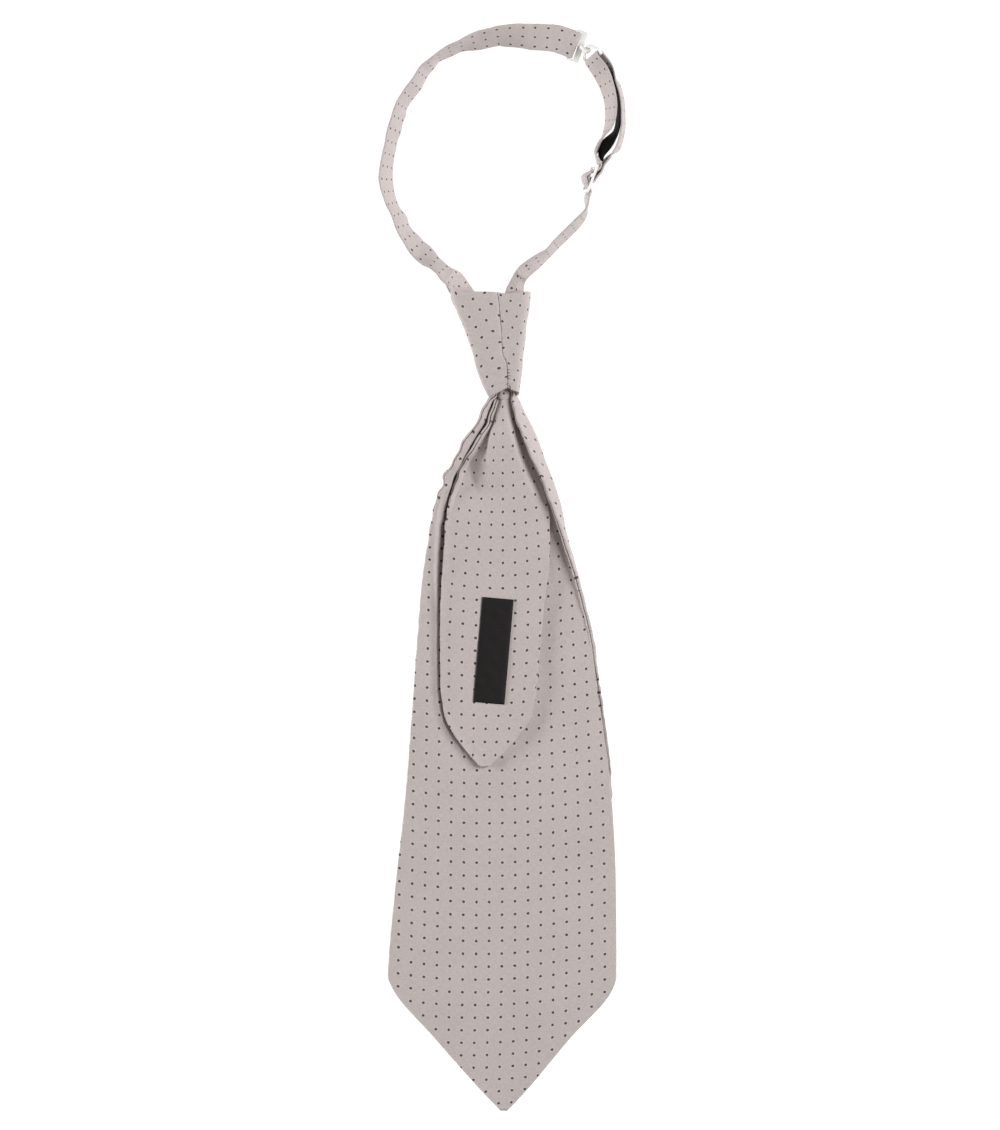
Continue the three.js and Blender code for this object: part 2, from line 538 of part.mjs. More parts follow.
// A band's half turn round a bar at the middle of a station, starting on the given side of it.
function halfTurn(bar, startSide, onwards, steps) {
  return Array.from({ length: steps + 1 }, (_, i) => {
    const angle = (Math.PI * i) / steps;
    const point = bar.point
      .clone()
      .addScaledVector(bar.normal, startSide * turnRadius * Math.cos(angle))
      .addScaledVector(bar.travel, onwards * turnRadius * Math.sin(angle));
    return { ...bar, point };
  });
}

// Long band: out of the knot, round the loop to the hook, and sewn back under itself.
const longStations = stationsOn(longBandRoute, 56, -1, ({ toEnd }) => {
  const near = 1 - THREE.MathUtils.smoothstep(toEnd, foldBack, 3 * foldBack);
  return [near * turnRadius, near * (fittingHalfWidth - bandWidth / 2)];
});

function makeLongBand() {
  const hookBar = longStations.at(-1);
  const spread = ({ toEnd }) => 1 - THREE.MathUtils.smoothstep(toEnd, 0.2 * foldBack, 0.9 * foldBack);
  const flapGap = bandThickness + clearance;
  const upper = longStations.slice(0, -1).map((station) => shifted(station, -turnRadius * spread(station)));
  const flap = longStations
    .slice(0, -1)
    .filter(({ toEnd }) => toEnd < foldBack)
    .map((station) => {
      const own = turnRadius * spread(station) + flapGap * (1 - spread(station));
      return shifted(station, own);
    })
    .reverse();
  return ribbon([...upper, ...halfTurn(hookBar, -1, 1, 6), ...flap], bandWidth, bandThickness);
}

// Short band: out of the knot, through the slider, up to the eye, round its bar and back to the slider's bar.
const sliderReach = sliderSlot + barWidth; // from the slider's middle bar to its outer bars
const doubledFrom = shortBandRoute.length / (shortBandRoute.length + doubledRoute.length - 1);
const single = { inner: 0, outer: 0, lean: 0 };
const wholeShortRoute = [...shortBandRoute.map((row) => ({ ...row, ...single })), ...doubledRoute];
const shortStations = stationsOn(wholeShortRoute, 72, 1, ({ inner, outer }) => {
  const doubled = Math.min(inner, 1);
  return [outer * bandThickness, doubled * (fittingHalfWidth - bandWidth / 2)];
});
const doubledLength = shortStations.at(-1).along * (1 - doubledFrom);
const sliderPlace = shortStations.at(-1).along - doubledLength * (1 - sliderAt);
const sliderStation = shortStations.reduce((best, station) =>
  Math.abs(station.along - sliderPlace) < Math.abs(best.along - sliderPlace) ? station : best,
);
const sliderLevel = turnRadius + layerGap + bandThickness / 2; // slider's plane above the route
const slider = shifted(sliderStation, sliderLevel);

// The band is straight where it runs through the slider.
function straightened(station) {
  const reach = station.along - sliderStation.along;
  const free = THREE.MathUtils.smoothstep(Math.abs(reach), 1.3 * sliderReach, 2.6 * sliderReach);
  const blend = (name, held) => held.clone().lerp(station[name], free);
  return {
    ...station,
    reach,
    point: blend("point", sliderStation.point.clone().addScaledVector(sliderStation.travel, reach)),
    width: blend("width", sliderStation.width).normalize(),
    normal: blend("normal", sliderStation.normal).normalize(),
    travel: blend("travel", sliderStation.travel).normalize(),
  };
}

function nearEye(station, offset) {
  const near = 1 - THREE.MathUtils.smoothstep(station.toEnd, 0.5 * sliderReach, 2 * sliderReach);
  return offset + (turnRadius - offset) * near;
}

function makeShortBand() {
  const stations = shortStations.map(straightened);
  const eyeBar = stations.at(-1);
  const nearBar = sliderLevel - turnRadius;
  const overWrap = sliderLevel + turnRadius + bandThickness + 1.5 * clearance;
  const running = stations.slice(0, -1).map((station) => {
    const { reach } = station;
    const weave = overWrap + (nearBar - overWrap) * (0.5 - 0.5 * Math.cos((Math.PI * reach) / sliderReach));
    const open = nearEye(station, station.inner * bandThickness);
    const away = THREE.MathUtils.smoothstep(Math.abs(reach), 1.15 * sliderReach, 2 * sliderReach);
    const offset = Math.abs(reach) < sliderReach ? weave : nearBar + (open - nearBar) * away;
    return leaning(shifted(station, offset), station.lean * away);
  });
  const fixed = stations
    .slice(0, -1)
    .filter(({ reach }) => reach > clearance)
    .map((station) => {
      const open = nearEye(station, station.outer * bandThickness);
      const away = THREE.MathUtils.smoothstep(station.reach, 1.15 * sliderReach, 2 * sliderReach);
      const leave = THREE.MathUtils.smoothstep(station.reach, 0, 0.85 * sliderReach);
      const held = -nearBar + leave * (bandThickness + 1.3 * clearance);
      return shifted(station, -(held + (open - held) * away));
    })
    .reverse();
  const sewnEnd = halfTurn(slider, -1, -1, 6);
  const tip = shifted({ ...slider, point: slider.point.clone().addScaledVector(slider.travel, 1) }, turnRadius);
  return ribbon([...running, ...halfTurn(eyeBar, 1, 1, 6), ...fixed, ...sewnEnd, tip], bandWidth, bandThickness);
}

// Black woven tape along the inner layer of the doubled stretch, on the side that faces the outer layer.
function makeTape() {
  const beside = bandThickness / 2 + 1.4 * clearance + tapeThickness / 2;
  const stations = shortStations
    .map(straightened)
    .filter(({ reach, toEnd }) => reach > 1.7 * sliderReach && toEnd > 1.6 * sliderReach)
    .map((station) => {
      const away = THREE.MathUtils.smoothstep(station.reach, 1.15 * sliderReach, 2 * sliderReach);
      const open = nearEye(station, station.inner * bandThickness);
      const nearBar = sliderLevel - turnRadius;
      const inner = leaning(shifted(station, nearBar + (open - nearBar) * away), station.lean * away);
      return shifted(inner, -beside);
    });
  return ribbon(stations, tapeWidth, tapeThickness);
}

// A polygon with rounded corners.
function rounded(outline, points, radius) {
  points.forEach(([x, y], i) => {
    const corner = new THREE.Vector2(x, y);
    const towards = ([px, py]) => {
      const step = new THREE.Vector2(px, py).sub(corner);
      return corner.clone().add(step.setLength(Math.min(radius, 0.45 * step.length())));
    };
    const before = towards(points.at(i - 1));
    const after = towards(points[(i + 1) % points.length]);
    if (i === 0) outline.moveTo(before.x, before.y);
    else outline.lineTo(before.x, before.y);
    outline.quadraticCurveTo(x, y, after.x, after.y);
  });
  return outline;
}

// A flat plastic plate in the plane of a station, with slots through it.
function plate(station, outline, slots) {
  const shape = rounded(new THREE.Shape(), outline, cornerRadius);
  shape.holes = slots.map((slot) => rounded(new THREE.Path(), [...slot].reverse(), cornerRadius / 3));
  const geometry = new THREE.ExtrudeGeometry(shape, {
    depth: fittingThickness,
    bevelEnabled: false,
    curveSegments: 2,
  });
  geometry.translate(0, 0, -fittingThickness / 2);
  geometry.applyMatrix4(frameOf(station));
  return geometry;
}

function oblong(half, from, to) {
  return [
    [-half, from],
    [half, from],
    [half, to],
    [-half, to],
  ];
}

function frameOf({ point, width, travel, normal }) {
  const along = travel.clone().addScaledVector(width, -travel.dot(width)).normalize();
  return new THREE.Matrix4()
    .makeBasis(width, along, new THREE.Vector3().crossVectors(width, along))
    .setPosition(point);
}

function makeSlider() {
  const edge = sliderReach + barWidth / 2;
  const side = fittingHalfWidth - railWidth;
  const slots = [oblong(side, -edge + barWidth, -barWidth / 2), oblong(side, barWidth / 2, edge - barWidth)];
  return plate(slider, oblong(fittingHalfWidth, -edge, edge), slots);
}

const turnRoom = turnRadius + bandThickness / 2 + clearance - barWidth / 2; // slot beyond a bar with a band on it
const eyeStation = straightened(shortStations.at(-1));
const eyeSlot = turnRoom + eyeMouth;

// The eye narrows from the band's bar to the bar that the hook takes.
function makeEye() {
  const shape = (wide, narrow, from, shoulder, to) => [
    [-wide, from],
    [wide, from],
    [wide, shoulder],
    [narrow, to],
    [-narrow, to],
    [-wide, shoulder],
  ];
  const wide = fittingHalfWidth;
  const narrow = eyeNoseWidth / 2;
  const shoulder = barWidth / 2 + turnRoom;
  const outline = shape(wide, narrow, -barWidth / 2, shoulder + railWidth / 2, 1.5 * barWidth + eyeSlot);
  const slot = shape(wide - railWidth, narrow - railWidth, barWidth / 2, shoulder, barWidth / 2 + eyeSlot);
  return plate(eyeStation, outline, [slot]);
}

// The hook's plate holds the long band's end; its finger reaches over the eye's far bar and back under it.
function makeHook() {
  const station = longStations.at(-1);
  const front = barWidth / 2 + turnRoom + hookBarWidth;
  const side = fittingHalfWidth - railWidth;
  const slot = oblong(side, barWidth / 2, barWidth / 2 + turnRoom);
  const base = plate(station, oblong(fittingHalfWidth, -barWidth / 2, front), [slot]);
  const eye = frameOf(eyeStation);
  const farBar = barWidth + eyeSlot;
  const reach = fittingThickness / 2 + clearance + fingerThickness / 2;
  const across = barWidth / 2 + clearance + fingerThickness / 2;
  const inEye = (along, height) => new THREE.Vector3(0, farBar + along, height).applyMatrix4(eye);
  const root = new THREE.Vector3(0, front - hookBarWidth / 2, 0).applyMatrix4(frameOf(station));
  const path = new THREE.CatmullRomCurve3(
    [
      root,
      root.clone().lerp(inEye(across, 1.2 * reach), 0.6),
      inEye(0, 1.1 * reach),
      inEye(-0.8 * across, 0.85 * reach),
      inEye(-1.15 * across, 0),
      inEye(-0.8 * across, -0.85 * reach),
      inEye(0, -1.1 * reach),
      inEye(0.8 * across, -1.1 * reach),
    ],
    false,
    "centripetal",
  );
  const width = new THREE.Vector3().setFromMatrixColumn(eye, 0);
  const stations = Array.from({ length: 19 }, (_, i) => ({ point: path.getPointAt(i / 18), width }));
  const finger = ribbon(stations, fingerWidth, fingerThickness);
  return joined(base, finger);
}

function toManifold(geometry) {
  const bare = new THREE.BufferGeometry();
  bare.setAttribute("position", geometry.getAttribute("position"));
  if (geometry.index) bare.setIndex(geometry.index);
  const merged = mergeVertices(bare, 1e-4);
  return new wasm.Manifold(
    new wasm.Mesh({
      numProp: 3,
      vertProperties: new Float32Array(merged.getAttribute("position").array),
      triVerts: new Uint32Array(merged.index.array),
    }),
  );
}

function joined(a, b) {
  const mesh = toManifold(a).add(toManifold(b)).getMesh();
  const geometry = new THREE.BufferGeometry();
  geometry.setAttribute("position", new THREE.Float32BufferAttribute(mesh.vertProperties, 3));
  geometry.setIndex([...mesh.triVerts]);
  return geometry;
}

const tie = new THREE.Group();

function material(colour, roughness, metalness = 0) {
  return new THREE.MeshStandardMaterial({ color: colour, roughness, metalness });
}

const silk = material(0xc6bcb9, 0.55);
const liningSilk = material(0xc2b8b5, 0.55);
const labelSatin = material(0x262323, 0.6);
const tapeWeave = material(0x2b2828, 0.8);
const whitePlastic = material(0xf0efe9, 0.35);

function add(name, geometry, look) {
  const mesh = new THREE.Mesh(geometry, look);
  mesh.name = name;
  tie.add(mesh);
  return mesh;
}

add("blade_face", makeBlade(true), silk);
add("blade_lining", makeBlade(false), liningSilk);
add("tail_face", makeTail(true), silk);
add("tail_lining", makeTail(false), liningSilk);
add("label", makeLabel(), labelSatin);
add("knot_wrap", makeKnot(), silk);
add("neckband_long", makeLongBand(), silk);
add("neckband_short", makeShortBand(), silk);
add("adjuster_tape", makeTape(), tapeWeave);
add("slider", makeSlider(), whitePlastic);
add("eye_clip", makeEye(), whitePlastic);
add("hook_clip", makeHook(), whitePlastic);

const bounds = new THREE.Box3().setFromObject(tie);
const middle = bounds.getCenter(new THREE.Vector3());
tie.children.forEach((mesh) => mesh.geometry.translate(-middle.x, -middle.y, -bounds.min.z));

export default tie;
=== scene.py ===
import functools
import math

import bpy
import numpy as np
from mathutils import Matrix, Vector


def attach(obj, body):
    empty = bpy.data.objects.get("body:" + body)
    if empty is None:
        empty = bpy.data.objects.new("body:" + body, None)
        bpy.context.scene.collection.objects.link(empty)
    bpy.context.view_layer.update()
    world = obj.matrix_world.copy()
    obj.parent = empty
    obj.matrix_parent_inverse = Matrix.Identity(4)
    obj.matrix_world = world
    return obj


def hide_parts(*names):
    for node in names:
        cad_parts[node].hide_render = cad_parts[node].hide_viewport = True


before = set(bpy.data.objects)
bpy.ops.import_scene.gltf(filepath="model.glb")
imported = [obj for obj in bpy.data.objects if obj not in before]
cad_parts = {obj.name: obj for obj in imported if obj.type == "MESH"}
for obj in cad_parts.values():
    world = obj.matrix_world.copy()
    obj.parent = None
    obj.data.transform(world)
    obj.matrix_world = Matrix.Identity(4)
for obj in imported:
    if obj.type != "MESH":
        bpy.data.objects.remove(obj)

bl_info = {
    "name": "Ready-tied ascot",
    "version": (1, 0, 0),
    "blender": (4, 5, 0),
    "location": "3D View > Sidebar > Ascot",
    "description": "Dresses the ascot tie's solids in dotted silk, satin, tape and moulded plastic",
    "category": "Object",
}

# Shapes are worked out in millimetres, with +X right, +Y from the blade's point to the neckband and +Z up.
# The knot's lower rim is at 0 here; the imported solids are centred, so every point moves by CENTRED. LOWEST
# keeps cloth just off the table, and PIXEL is the real size of one of the photograph's pixels.
CENTRED = np.array([1.54, 94.6, 0.0])
TO_METRES = 0.001
LOWEST = 0.02
PHOTO_HEIGHT = 1130
PIXEL = 0.55

BLADE_LENGTH = 394.0
BLADE_WIDTH = 126.0
TAIL_LENGTH = 204.6
TAIL_WIDTH = 60.0
FOLD_LIFT = 14.0
FACE_THICKNESS = 1.3
LINING_THICKNESS = 0.9
CLEARANCE = 0.3
KNOT_HEIGHT = 56.5
KNOT_TOP = (44.3, 21.0)
KNOT_BOTTOM = (16.7, 15.5)
KNOT_WALL = 1.5
KNOT_LEAN = -7.9
KNOT_SQUARENESS = 3.0
PRESSED_SQUARENESS = 4.6
NECK_LENGTH = 15.0
KNOT_OVERLAP = 6.0
SEAM_SPREAD = (0.28, 0.17)
LOOP_WIDTH = 125.4
LOOP_HEIGHT = 141.5
LOOP_LEAN = -2.2
BAND_WIDTH = 15.0
BAND_THICKNESS = 1.2
TAPE_WIDTH = 12.5
TAPE_THICKNESS = 0.7
FOLD_BACK = 13.0
LABEL_SIZE = (17.4, 58.0)
LABEL_THICKNESS = 0.4
LABEL_DROP = 140.4
LABEL_OFFSET = -6.4
LABEL_TURN = math.radians(-5)
FITTING_THICKNESS = 1.3
FITTING_MARGIN = 0.35
RAIL_WIDTH = 1.1
BAR_WIDTH = 1.6
SLIDER_SLOT = 5.8
OUTER_TILT = 98.0
TAPE_TILT = 80.0

LAYER_GAP = 0.6 * CLEARANCE
UNDER = FACE_THICKNESS + LAYER_GAP
OVER = LINING_THICKNESS + LAYER_GAP
BLADE_LEVEL = UNDER
TAIL_LEVEL = BLADE_LEVEL + OVER + CLEARANCE + UNDER
NECK_MIDDLE = -0.04 * KNOT_BOTTOM[0]
NECK_HALF = KNOT_BOTTOM[0] / 2 - KNOT_WALL - CLEARANCE - UNDER - LAYER_GAP
NECK_DEPTH = KNOT_BOTTOM[1] / 2 - KNOT_WALL - CLEARANCE - UNDER - LAYER_GAP
NECK_FLOOR = KNOT_BOTTOM[1] / 2 - NECK_DEPTH
NECK_CEILING = KNOT_BOTTOM[1] - 2 * (KNOT_WALL + CLEARANCE) - OVER - LAYER_GAP
TURN_RADIUS = math.hypot(BAR_WIDTH, FITTING_THICKNESS) / 2 + CLEARANCE + BAND_THICKNESS / 2
FITTING_HALF_WIDTH = BAND_WIDTH / 2 + FITTING_MARGIN + RAIL_WIDTH
SLIDER_REACH = SLIDER_SLOT + BAR_WIDTH
SLIDER_LEVEL = TURN_RADIUS + LAYER_GAP + BAND_THICKNESS / 2


def table(names, rows):
    values = np.array(rows, float)
    return {name: values[:, i] for i, name in enumerate(names.split())}


# Shares of the blade's length, of its width and of FOLD_LIFT, one row for each section, as in the solids.
BLADE = table(
    "drop left slope_left lift_left turn_right right lift_right curl rest dimple",
    [
        (0.0056, -0.072, 0.012, 0.66, 0.018, 0.05, 0.66, 0.024, 0.1, 0.05),
        (0.0335, -0.116, 0.024, 0.84, 0.03, 0.09, 0.88, 0.041, 0.02, 0.1),
        (0.0614, -0.168, 0.032, 0.88, 0.042, 0.133, 0.96, 0.052, 0, 0.1),
        (0.0893, -0.221, 0.034, 0.82, 0.05, 0.163, 0.93, 0.048, 0, 0.07),
        (0.117, -0.268, 0.036, 0.7, 0.058, 0.198, 0.86, 0.04, 0, 0.04),
        (0.138, -0.292, 0.042, 0.48, 0.066, 0.217, 0.8, 0.035, 0, 0.02),
        (0.156, -0.31, 0.055, 0.2, 0.073, 0.233, 0.73, 0.029, 0, 0),
        (0.201, -0.336, 0.075, 0.05, 0.09, 0.264, 0.56, 0.012, 0, 0),
        (0.256, -0.362, 0.1, 0, 0.105, 0.313, 0.35, 0.003, 0, 0),
        (0.34, -0.384, 0.12, 0, 0.12, 0.375, 0.14, 0, 0, 0),
        (0.424, -0.403, 0.13, 0, 0.13, 0.413, 0.04, 0, 0, 0),
        (0.563, -0.437, 0.14, 0, 0.14, 0.466, 0, 0, 0, 0),
        (0.675, -0.476, 0.15, 0, 0.15, 0.484, 0, 0, 0, 0),
        (0.779, -0.507, 0.16, 0, 0.16, 0.487, 0, 0, 0, 0),
        (0.812, -0.513, 0.16, 0, 0.16, 0.487, 0, 0, 0, 0),
        (0.827, -0.496, 0.15, 0, 0.15, 0.475, 0, 0, 0, 0),
        (0.9, -0.304, 0.09, 0, 0.09, 0.281, 0, 0, 0, 0),
        (0.9967, -0.03, 0.006, 0, 0.006, 0.02, 0, 0, 0, 0),
        (1, -0.019, 0.004, 0, 0.004, 0.008, 0, 0, 0, 0),
    ],
)
TAIL = table(
    "drop left lift_left crease crease_lift ridge ridge_lift right lift_right",
    [
        (0.011, -0.083, 0.3, -0.05, 0.14, 0.01, 0.42, 0.05, 0.1),
        (0.0645, -0.147, 0.5, -0.095, 0.27, 0.04, 0.5, 0.13, 0.16),
        (0.118, -0.235, 0.62, -0.155, 0.25, 0.07, 0.5, 0.21, 0.16),
        (0.172, -0.372, 0.53, -0.158, 0.17, 0.12, 0.44, 0.285, 0.21),
        (0.226, -0.452, 0.42, -0.158, 0.16, 0.17, 0.36, 0.335, 0.2),
        (0.28, -0.51, 0.34, -0.158, 0.17, 0.2, 0.27, 0.38, 0.17),
        (0.333, -0.54, 0.27, -0.158, 0.15, 0.2, 0.18, 0.415, 0.11),
        (0.44, -0.567, 0.17, -0.16, 0.09, 0.18, 0.09, 0.41, 0.08),
        (0.54, -0.588, 0.09, -0.16, 0.03, 0.14, 0.03, 0.37, 0.03),
        (0.64, -0.597, 0.03, -0.18, 0, 0.1, 0, 0.335, 0),
        (0.78, -0.592, 0, -0.2, 0, 0.05, 0, 0.29, 0),
        (0.835, -0.572, 0, -0.2, 0, 0.03, 0, 0.262, 0),
        (0.87, -0.545, 0, -0.2, 0, 0.0, 0, 0.235, 0),
        (0.9, -0.495, 0, -0.2, 0, -0.02, 0, 0.17, 0),
        (0.992, -0.25, 0, -0.2, 0, -0.17, 0, -0.12, 0),
        (1, -0.215, 0, -0.2, 0, -0.18, 0, -0.17, 0),
    ],
)
KNOT = table(
    "rise left right",
    [
        (0, 0, 0),
        (0.106, 0.162, 0.12),
        (0.25, 0.305, 0.26),
        (0.444, 0.452, 0.42),
        (0.637, 0.62, 0.59),
        (0.83, 0.843, 0.83),
        (0.946, 0.99, 0.95),
        (1, 1, 1),
    ],
)
LONG_BAND = table(
    "across up tilt",
    [
        (-0.205, -0.1, 38),
        (-0.26, -0.05, 42),
        (-0.371, 0.022, 38),
        (-0.416, 0.052, 44),
        (-0.472, 0.069, 52),
        (-0.527, 0.093, 59),
        (-0.575, 0.112, 58),
        (-0.642, 0.137, 46),
        (-0.684, 0.155, 43),
        (-0.741, 0.179, 47),
        (-0.785, 0.206, 52),
        (-0.831, 0.231, 58),
        (-0.866, 0.259, 60),
        (-0.887, 0.288, 60),
        (-0.93, 0.321, 67),
        (-0.958, 0.345, 66),
        (-0.984, 0.379, 65),
        (-1.001, 0.41, 62),
        (-1.012, 0.444, 61),
        (-1.009, 0.474, 63),
        (-1.001, 0.506, 65),
        (-0.987, 0.542, 66),
        (-0.972, 0.568, 67),
        (-0.958, 0.604, 66),
        (-0.937, 0.634, 62),
        (-0.917, 0.668, 65),
        (-0.896, 0.695, 63),
        (-0.874, 0.728, 67),
        (-0.834, 0.758, 67),
        (-0.796, 0.782, 65),
        (-0.747, 0.809, 65),
        (-0.712, 0.836, 68),
        (-0.669, 0.867, 69),
        (-0.622, 0.886, 72),
        (-0.565, 0.912, 78),
        (-0.502, 0.929, 74),
        (-0.442, 0.943, 71),
        (-0.373, 0.957, 72),
        (-0.306, 0.968, 65),
        (-0.228, 0.978, 55),
        (-0.169, 0.985, 51),
        (-0.083, 0.994, 51),
        (-0.019, 1, 48),
        (0.054, 1.001, 41),
        (0.136, 1.002, 34),
        (0.201, 1, 30),
        (0.28, 0.997, 19),
        (0.342, 0.996, 17),
        (0.431, 0.993, 14),
        (0.493, 0.989, 13),
        (0.58, 0.977, 10),
        (0.63, 0.968, 12),
    ],
)
SHORT_BAND = table(
    "across up tilt inner outer lean",
    [
        (0.105, -0.085, 140, 0, 0, 0),
        (0.12, -0.045, 136, 0, 0, 0),
        (0.132, 0, 131, 0, 0, 0),
        (0.165, 0.048, 117, 0, 0, 0),
        (0.216, 0.08, 118, 0, 0, 0),
        (0.282, 0.106, 116, 0, 0, 0),
        (0.35, 0.132, 111, 0, 0, 0),
        (0.42, 0.157, 104, 0, 0, 0),
        (0.48, 0.187, 105, 0, 0, 0),
        (0.543, 0.215, 106, 0, 0, 0),
        (0.606, 0.243, 106, 0, 0, 0),
        (0.669, 0.271, 105, 0, 0, 0),
        (0.74, 0.311, 98, 0, 0, 0),
        (0.776, 0.352, 90, 0, 0, 0),
        (0.79, 0.393, 83, 1.6, 2, 0),
        (0.828, 0.442, 81, 2.6, 2.2, 6),
        (0.872, 0.491, 78, 4.2, 2, 12),
        (0.915, 0.54, 76, 4.2, 1.6, 14),
        (0.958, 0.59, 72, 3.4, 2, 9),
        (0.99, 0.64, 66, 2.2, 1.8, 1),
        (1, 0.695, 60, 1.6, 1.4, 0),
        (0.989, 0.755, 57, 1.4, 1.4, 0),
        (0.945, 0.82, 53, 1.4, 1.4, 0),
        (0.886, 0.87, 56, 1.4, 1.4, 0),
        (0.82, 0.91, 60, 1.6, 1.6, 0),
    ],
)
SLIDER_TO_END = 71.75

# Where the knot's seam runs, how far its two rims stand off straight on the side that shows, and the
# threads across the foot of the seam.
SEAM = table(
    "rise x",
    [
        (0, 1.7),
        (0.08, 1.65),
        (0.27, 1.2),
        (0.32, 0.6),
        (0.38, -0.9),
        (0.54, -1.65),
        (0.83, -2.75),
        (1, -4.1),
    ],
)
LOW_RIM = table("x rise", [(-9, -1.4), (-4, 1.2), (0.5, 3.6), (1.8, 4.1), (3.6, 2.5), (8.5, 1.3)])
HIGH_RIM = table(
    "x rise",
    [
        (-30, 4.6),
        (-28, 3.6),
        (-25.5, 1),
        (-22, 0.2),
        (-10, 0.1),
        (-4, -0.3),
        (1, -0.9),
        (6, -0.3),
        (15, 0.5),
    ],
)
STITCHES = table(
    "x y turn",
    [(1.9, 13.9, 0.5), (2.1, 12.2, -0.4), (2.0, 10.6, 0.6), (2.1, 9.0, -0.5), (1.6, 6.2, 0.9)],
)

# How far the two hems ruffle and the cloth waves, in mm, down each panel, and how much of a hem's width
# is left on each side.
BLADE_WEAR = table(
    "drop left right wave hem_left hem_right",
    [
        (0, 0.1, 0.1, 0.05, 1, 0.9),
        (8, 0.75, 0.2, 0.15, 1.1, 1),
        (45, 0.85, 0.2, 0.25, 1.1, 1),
        (62, 0.35, 0.2, 0.22, 0.75, 0.9),
        (100, 0.12, 0.15, 0.16, 0.45, 0.6),
        (200, 0.08, 0.08, 0.14, 0.4, 0.4),
        (394, 0.06, 0.06, 0.1, 0.4, 0.4),
    ],
)
TAIL_WEAR = table(
    "drop left right wave hem_left hem_right",
    [
        (0, 0.1, 0.1, 0.05, 1, 0.5),
        (10, 0.6, 0.12, 0.12, 1.1, 0.45),
        (45, 0.5, 0.1, 0.12, 1, 0.4),
        (90, 0.1, 0.1, 0.1, 0.55, 0.4),
        (205, 0.06, 0.06, 0.08, 0.45, 0.4),
    ],
)

# The tail's centre pleat: where its crease runs and how far it rises, how much of the wing on its left
# slopes down from it, and where the valley beside the blade's turned edge runs and how deep it is.
PLEAT = table(
    "drop crease rise wing valley depth",
    [
        (-15, -1.8, 0, 0, 1.5, 0),
        (0, -2.1, 0.2, 0.2, 1.5, 1.2),
        (8, -4.0, 1.4, 1, 2.8, 3.4),
        (16, -6.0, 2.6, 1, 6.0, 4.6),
        (24, -8.2, 4.0, 1, 8.6, 4.8),
        (33, -9.4, 4.4, 1, 11.6, 4.6),
        (45, -9.0, 3.2, 0.8, 16.4, 3.8),
        (56, -8.8, 0.9, 0.3, 21.5, 2.0),
        (68, -8.8, 0, 0, 24.5, 0.4),
        (80, -8.8, 0, 0, 26.0, 0),
        (205, -8.8, 0, 0, 26.0, 0),
    ],
)

# A hem from the groove between its two cloths: how far in from the edge and how far from the seam, in mm.
LINING_EDGE = np.array(
    [
        (1.9, 0),
        (1.55, 0.18),
        (1.0, 0.25),
        (0.62, 0.38),
        (0.5, 0.6),
        (0.6, 0.84),
        (0.88, 1.03),
        (1.3, 1.11),
        (1.8, 1.09),
        (2.3, 1.04),
        (2.9, 1.05),
        (3.5, OVER),
        (4.4, OVER),
    ]
)
FACE_EDGE = np.array(
    [
        (1.9, 0),
        (1.4, -0.2),
        (0.7, -0.26),
        (0.2, -0.38),
        (0, -0.75),
        (0.06, -1.1),
        (0.28, -1.34),
        (0.66, -1.46),
        (1.2, -UNDER),
        (1.8, -UNDER),
        (2.5, -UNDER),
        (3.3, -UNDER),
        (4.4, -UNDER),
    ]
)

# Where the woven dots lie: the cells counted at a place are a sum of powers of (distance across, drop).
# The terms were fitted once to places of dots measured in the photograph.
POWERS = ((0, 0), (0, 1), (0, 2), (0, 3), (1, 0), (1, 1), (1, 2), (2, 0), (2, 1), (3, 0))
DOT_CELL = (7.1, 7.4)
BLADE_DOTS = {
    "reach": 60,
    "middle": 200,
    "span": 200,
    "start": 60,
    "across": (0.237, -0.204, 0.244, 0.282, 8.66, -0.783, 0.543, 0.076, -0.098, 0.048),
    "down": (-13.862, 27.5, -0.17, 1.119, 0.283, -0.051, 0.46, 0.882, -0.172, -0.1),
}
TAIL_DOTS = {
    "reach": 30,
    "middle": 100,
    "span": 100,
    "start": 15,
    "across": (1.174, 0.049, 0.31, 0.359, 4.315, -0.908, 1.569, 0.103, 0.121, 0.11),
    "down": (1.148, 14.304, 0.086, -0.213, 0.1, -0.187, 0.287, 0.532, -0.225, 0.063),
}

# The knot's wrap rolls out flat as part of a cone, with its way round at the lower rim and what each mm of
# height adds to it. WRAP_BIAS turns the woven pattern on it, and each of wrap_pattern's terms then moves
# the pattern by a share of a cell, fitted in the same way.
WRAP_OPENING = 0.925
WRAP_ROUND = 58.95
WRAP_WIDENING = 1.0497
WRAP_BIAS = math.radians(-25)
KNOT_DOTS = {
    "across": (0.519, 0.233, -0.034, -0.293, -0.33, -0.315, 0.051),
    "down": (0.207, 0.098, -0.014, 0.171, -0.178, -0.324, -0.229),
}


def linear(hex_colour):
    """The linear colour of an sRGB hex value."""
    parts = [int(hex_colour[i : i + 2], 16) / 255 for i in (1, 3, 5)]
    return tuple(c / 12.92 if c <= 0.04045 else ((c + 0.055) / 1.055) ** 2.4 for c in parts)


def smooth_step(value, low, high):
    t = np.clip((np.asarray(value, float) - low) / (high - low), 0, 1)
    return t * t * (3 - 2 * t)


def mix(a, b, share):
    return a + (b - a) * share


def swell(x, middle, width):
    """1 at the middle, and smoothly down to 0 on both sides."""
    return np.exp(-(((x - middle) / width) ** 2))


def unit(vectors):
    return vectors / np.maximum(np.linalg.norm(vectors, axis=-1, keepdims=True), 1e-12)


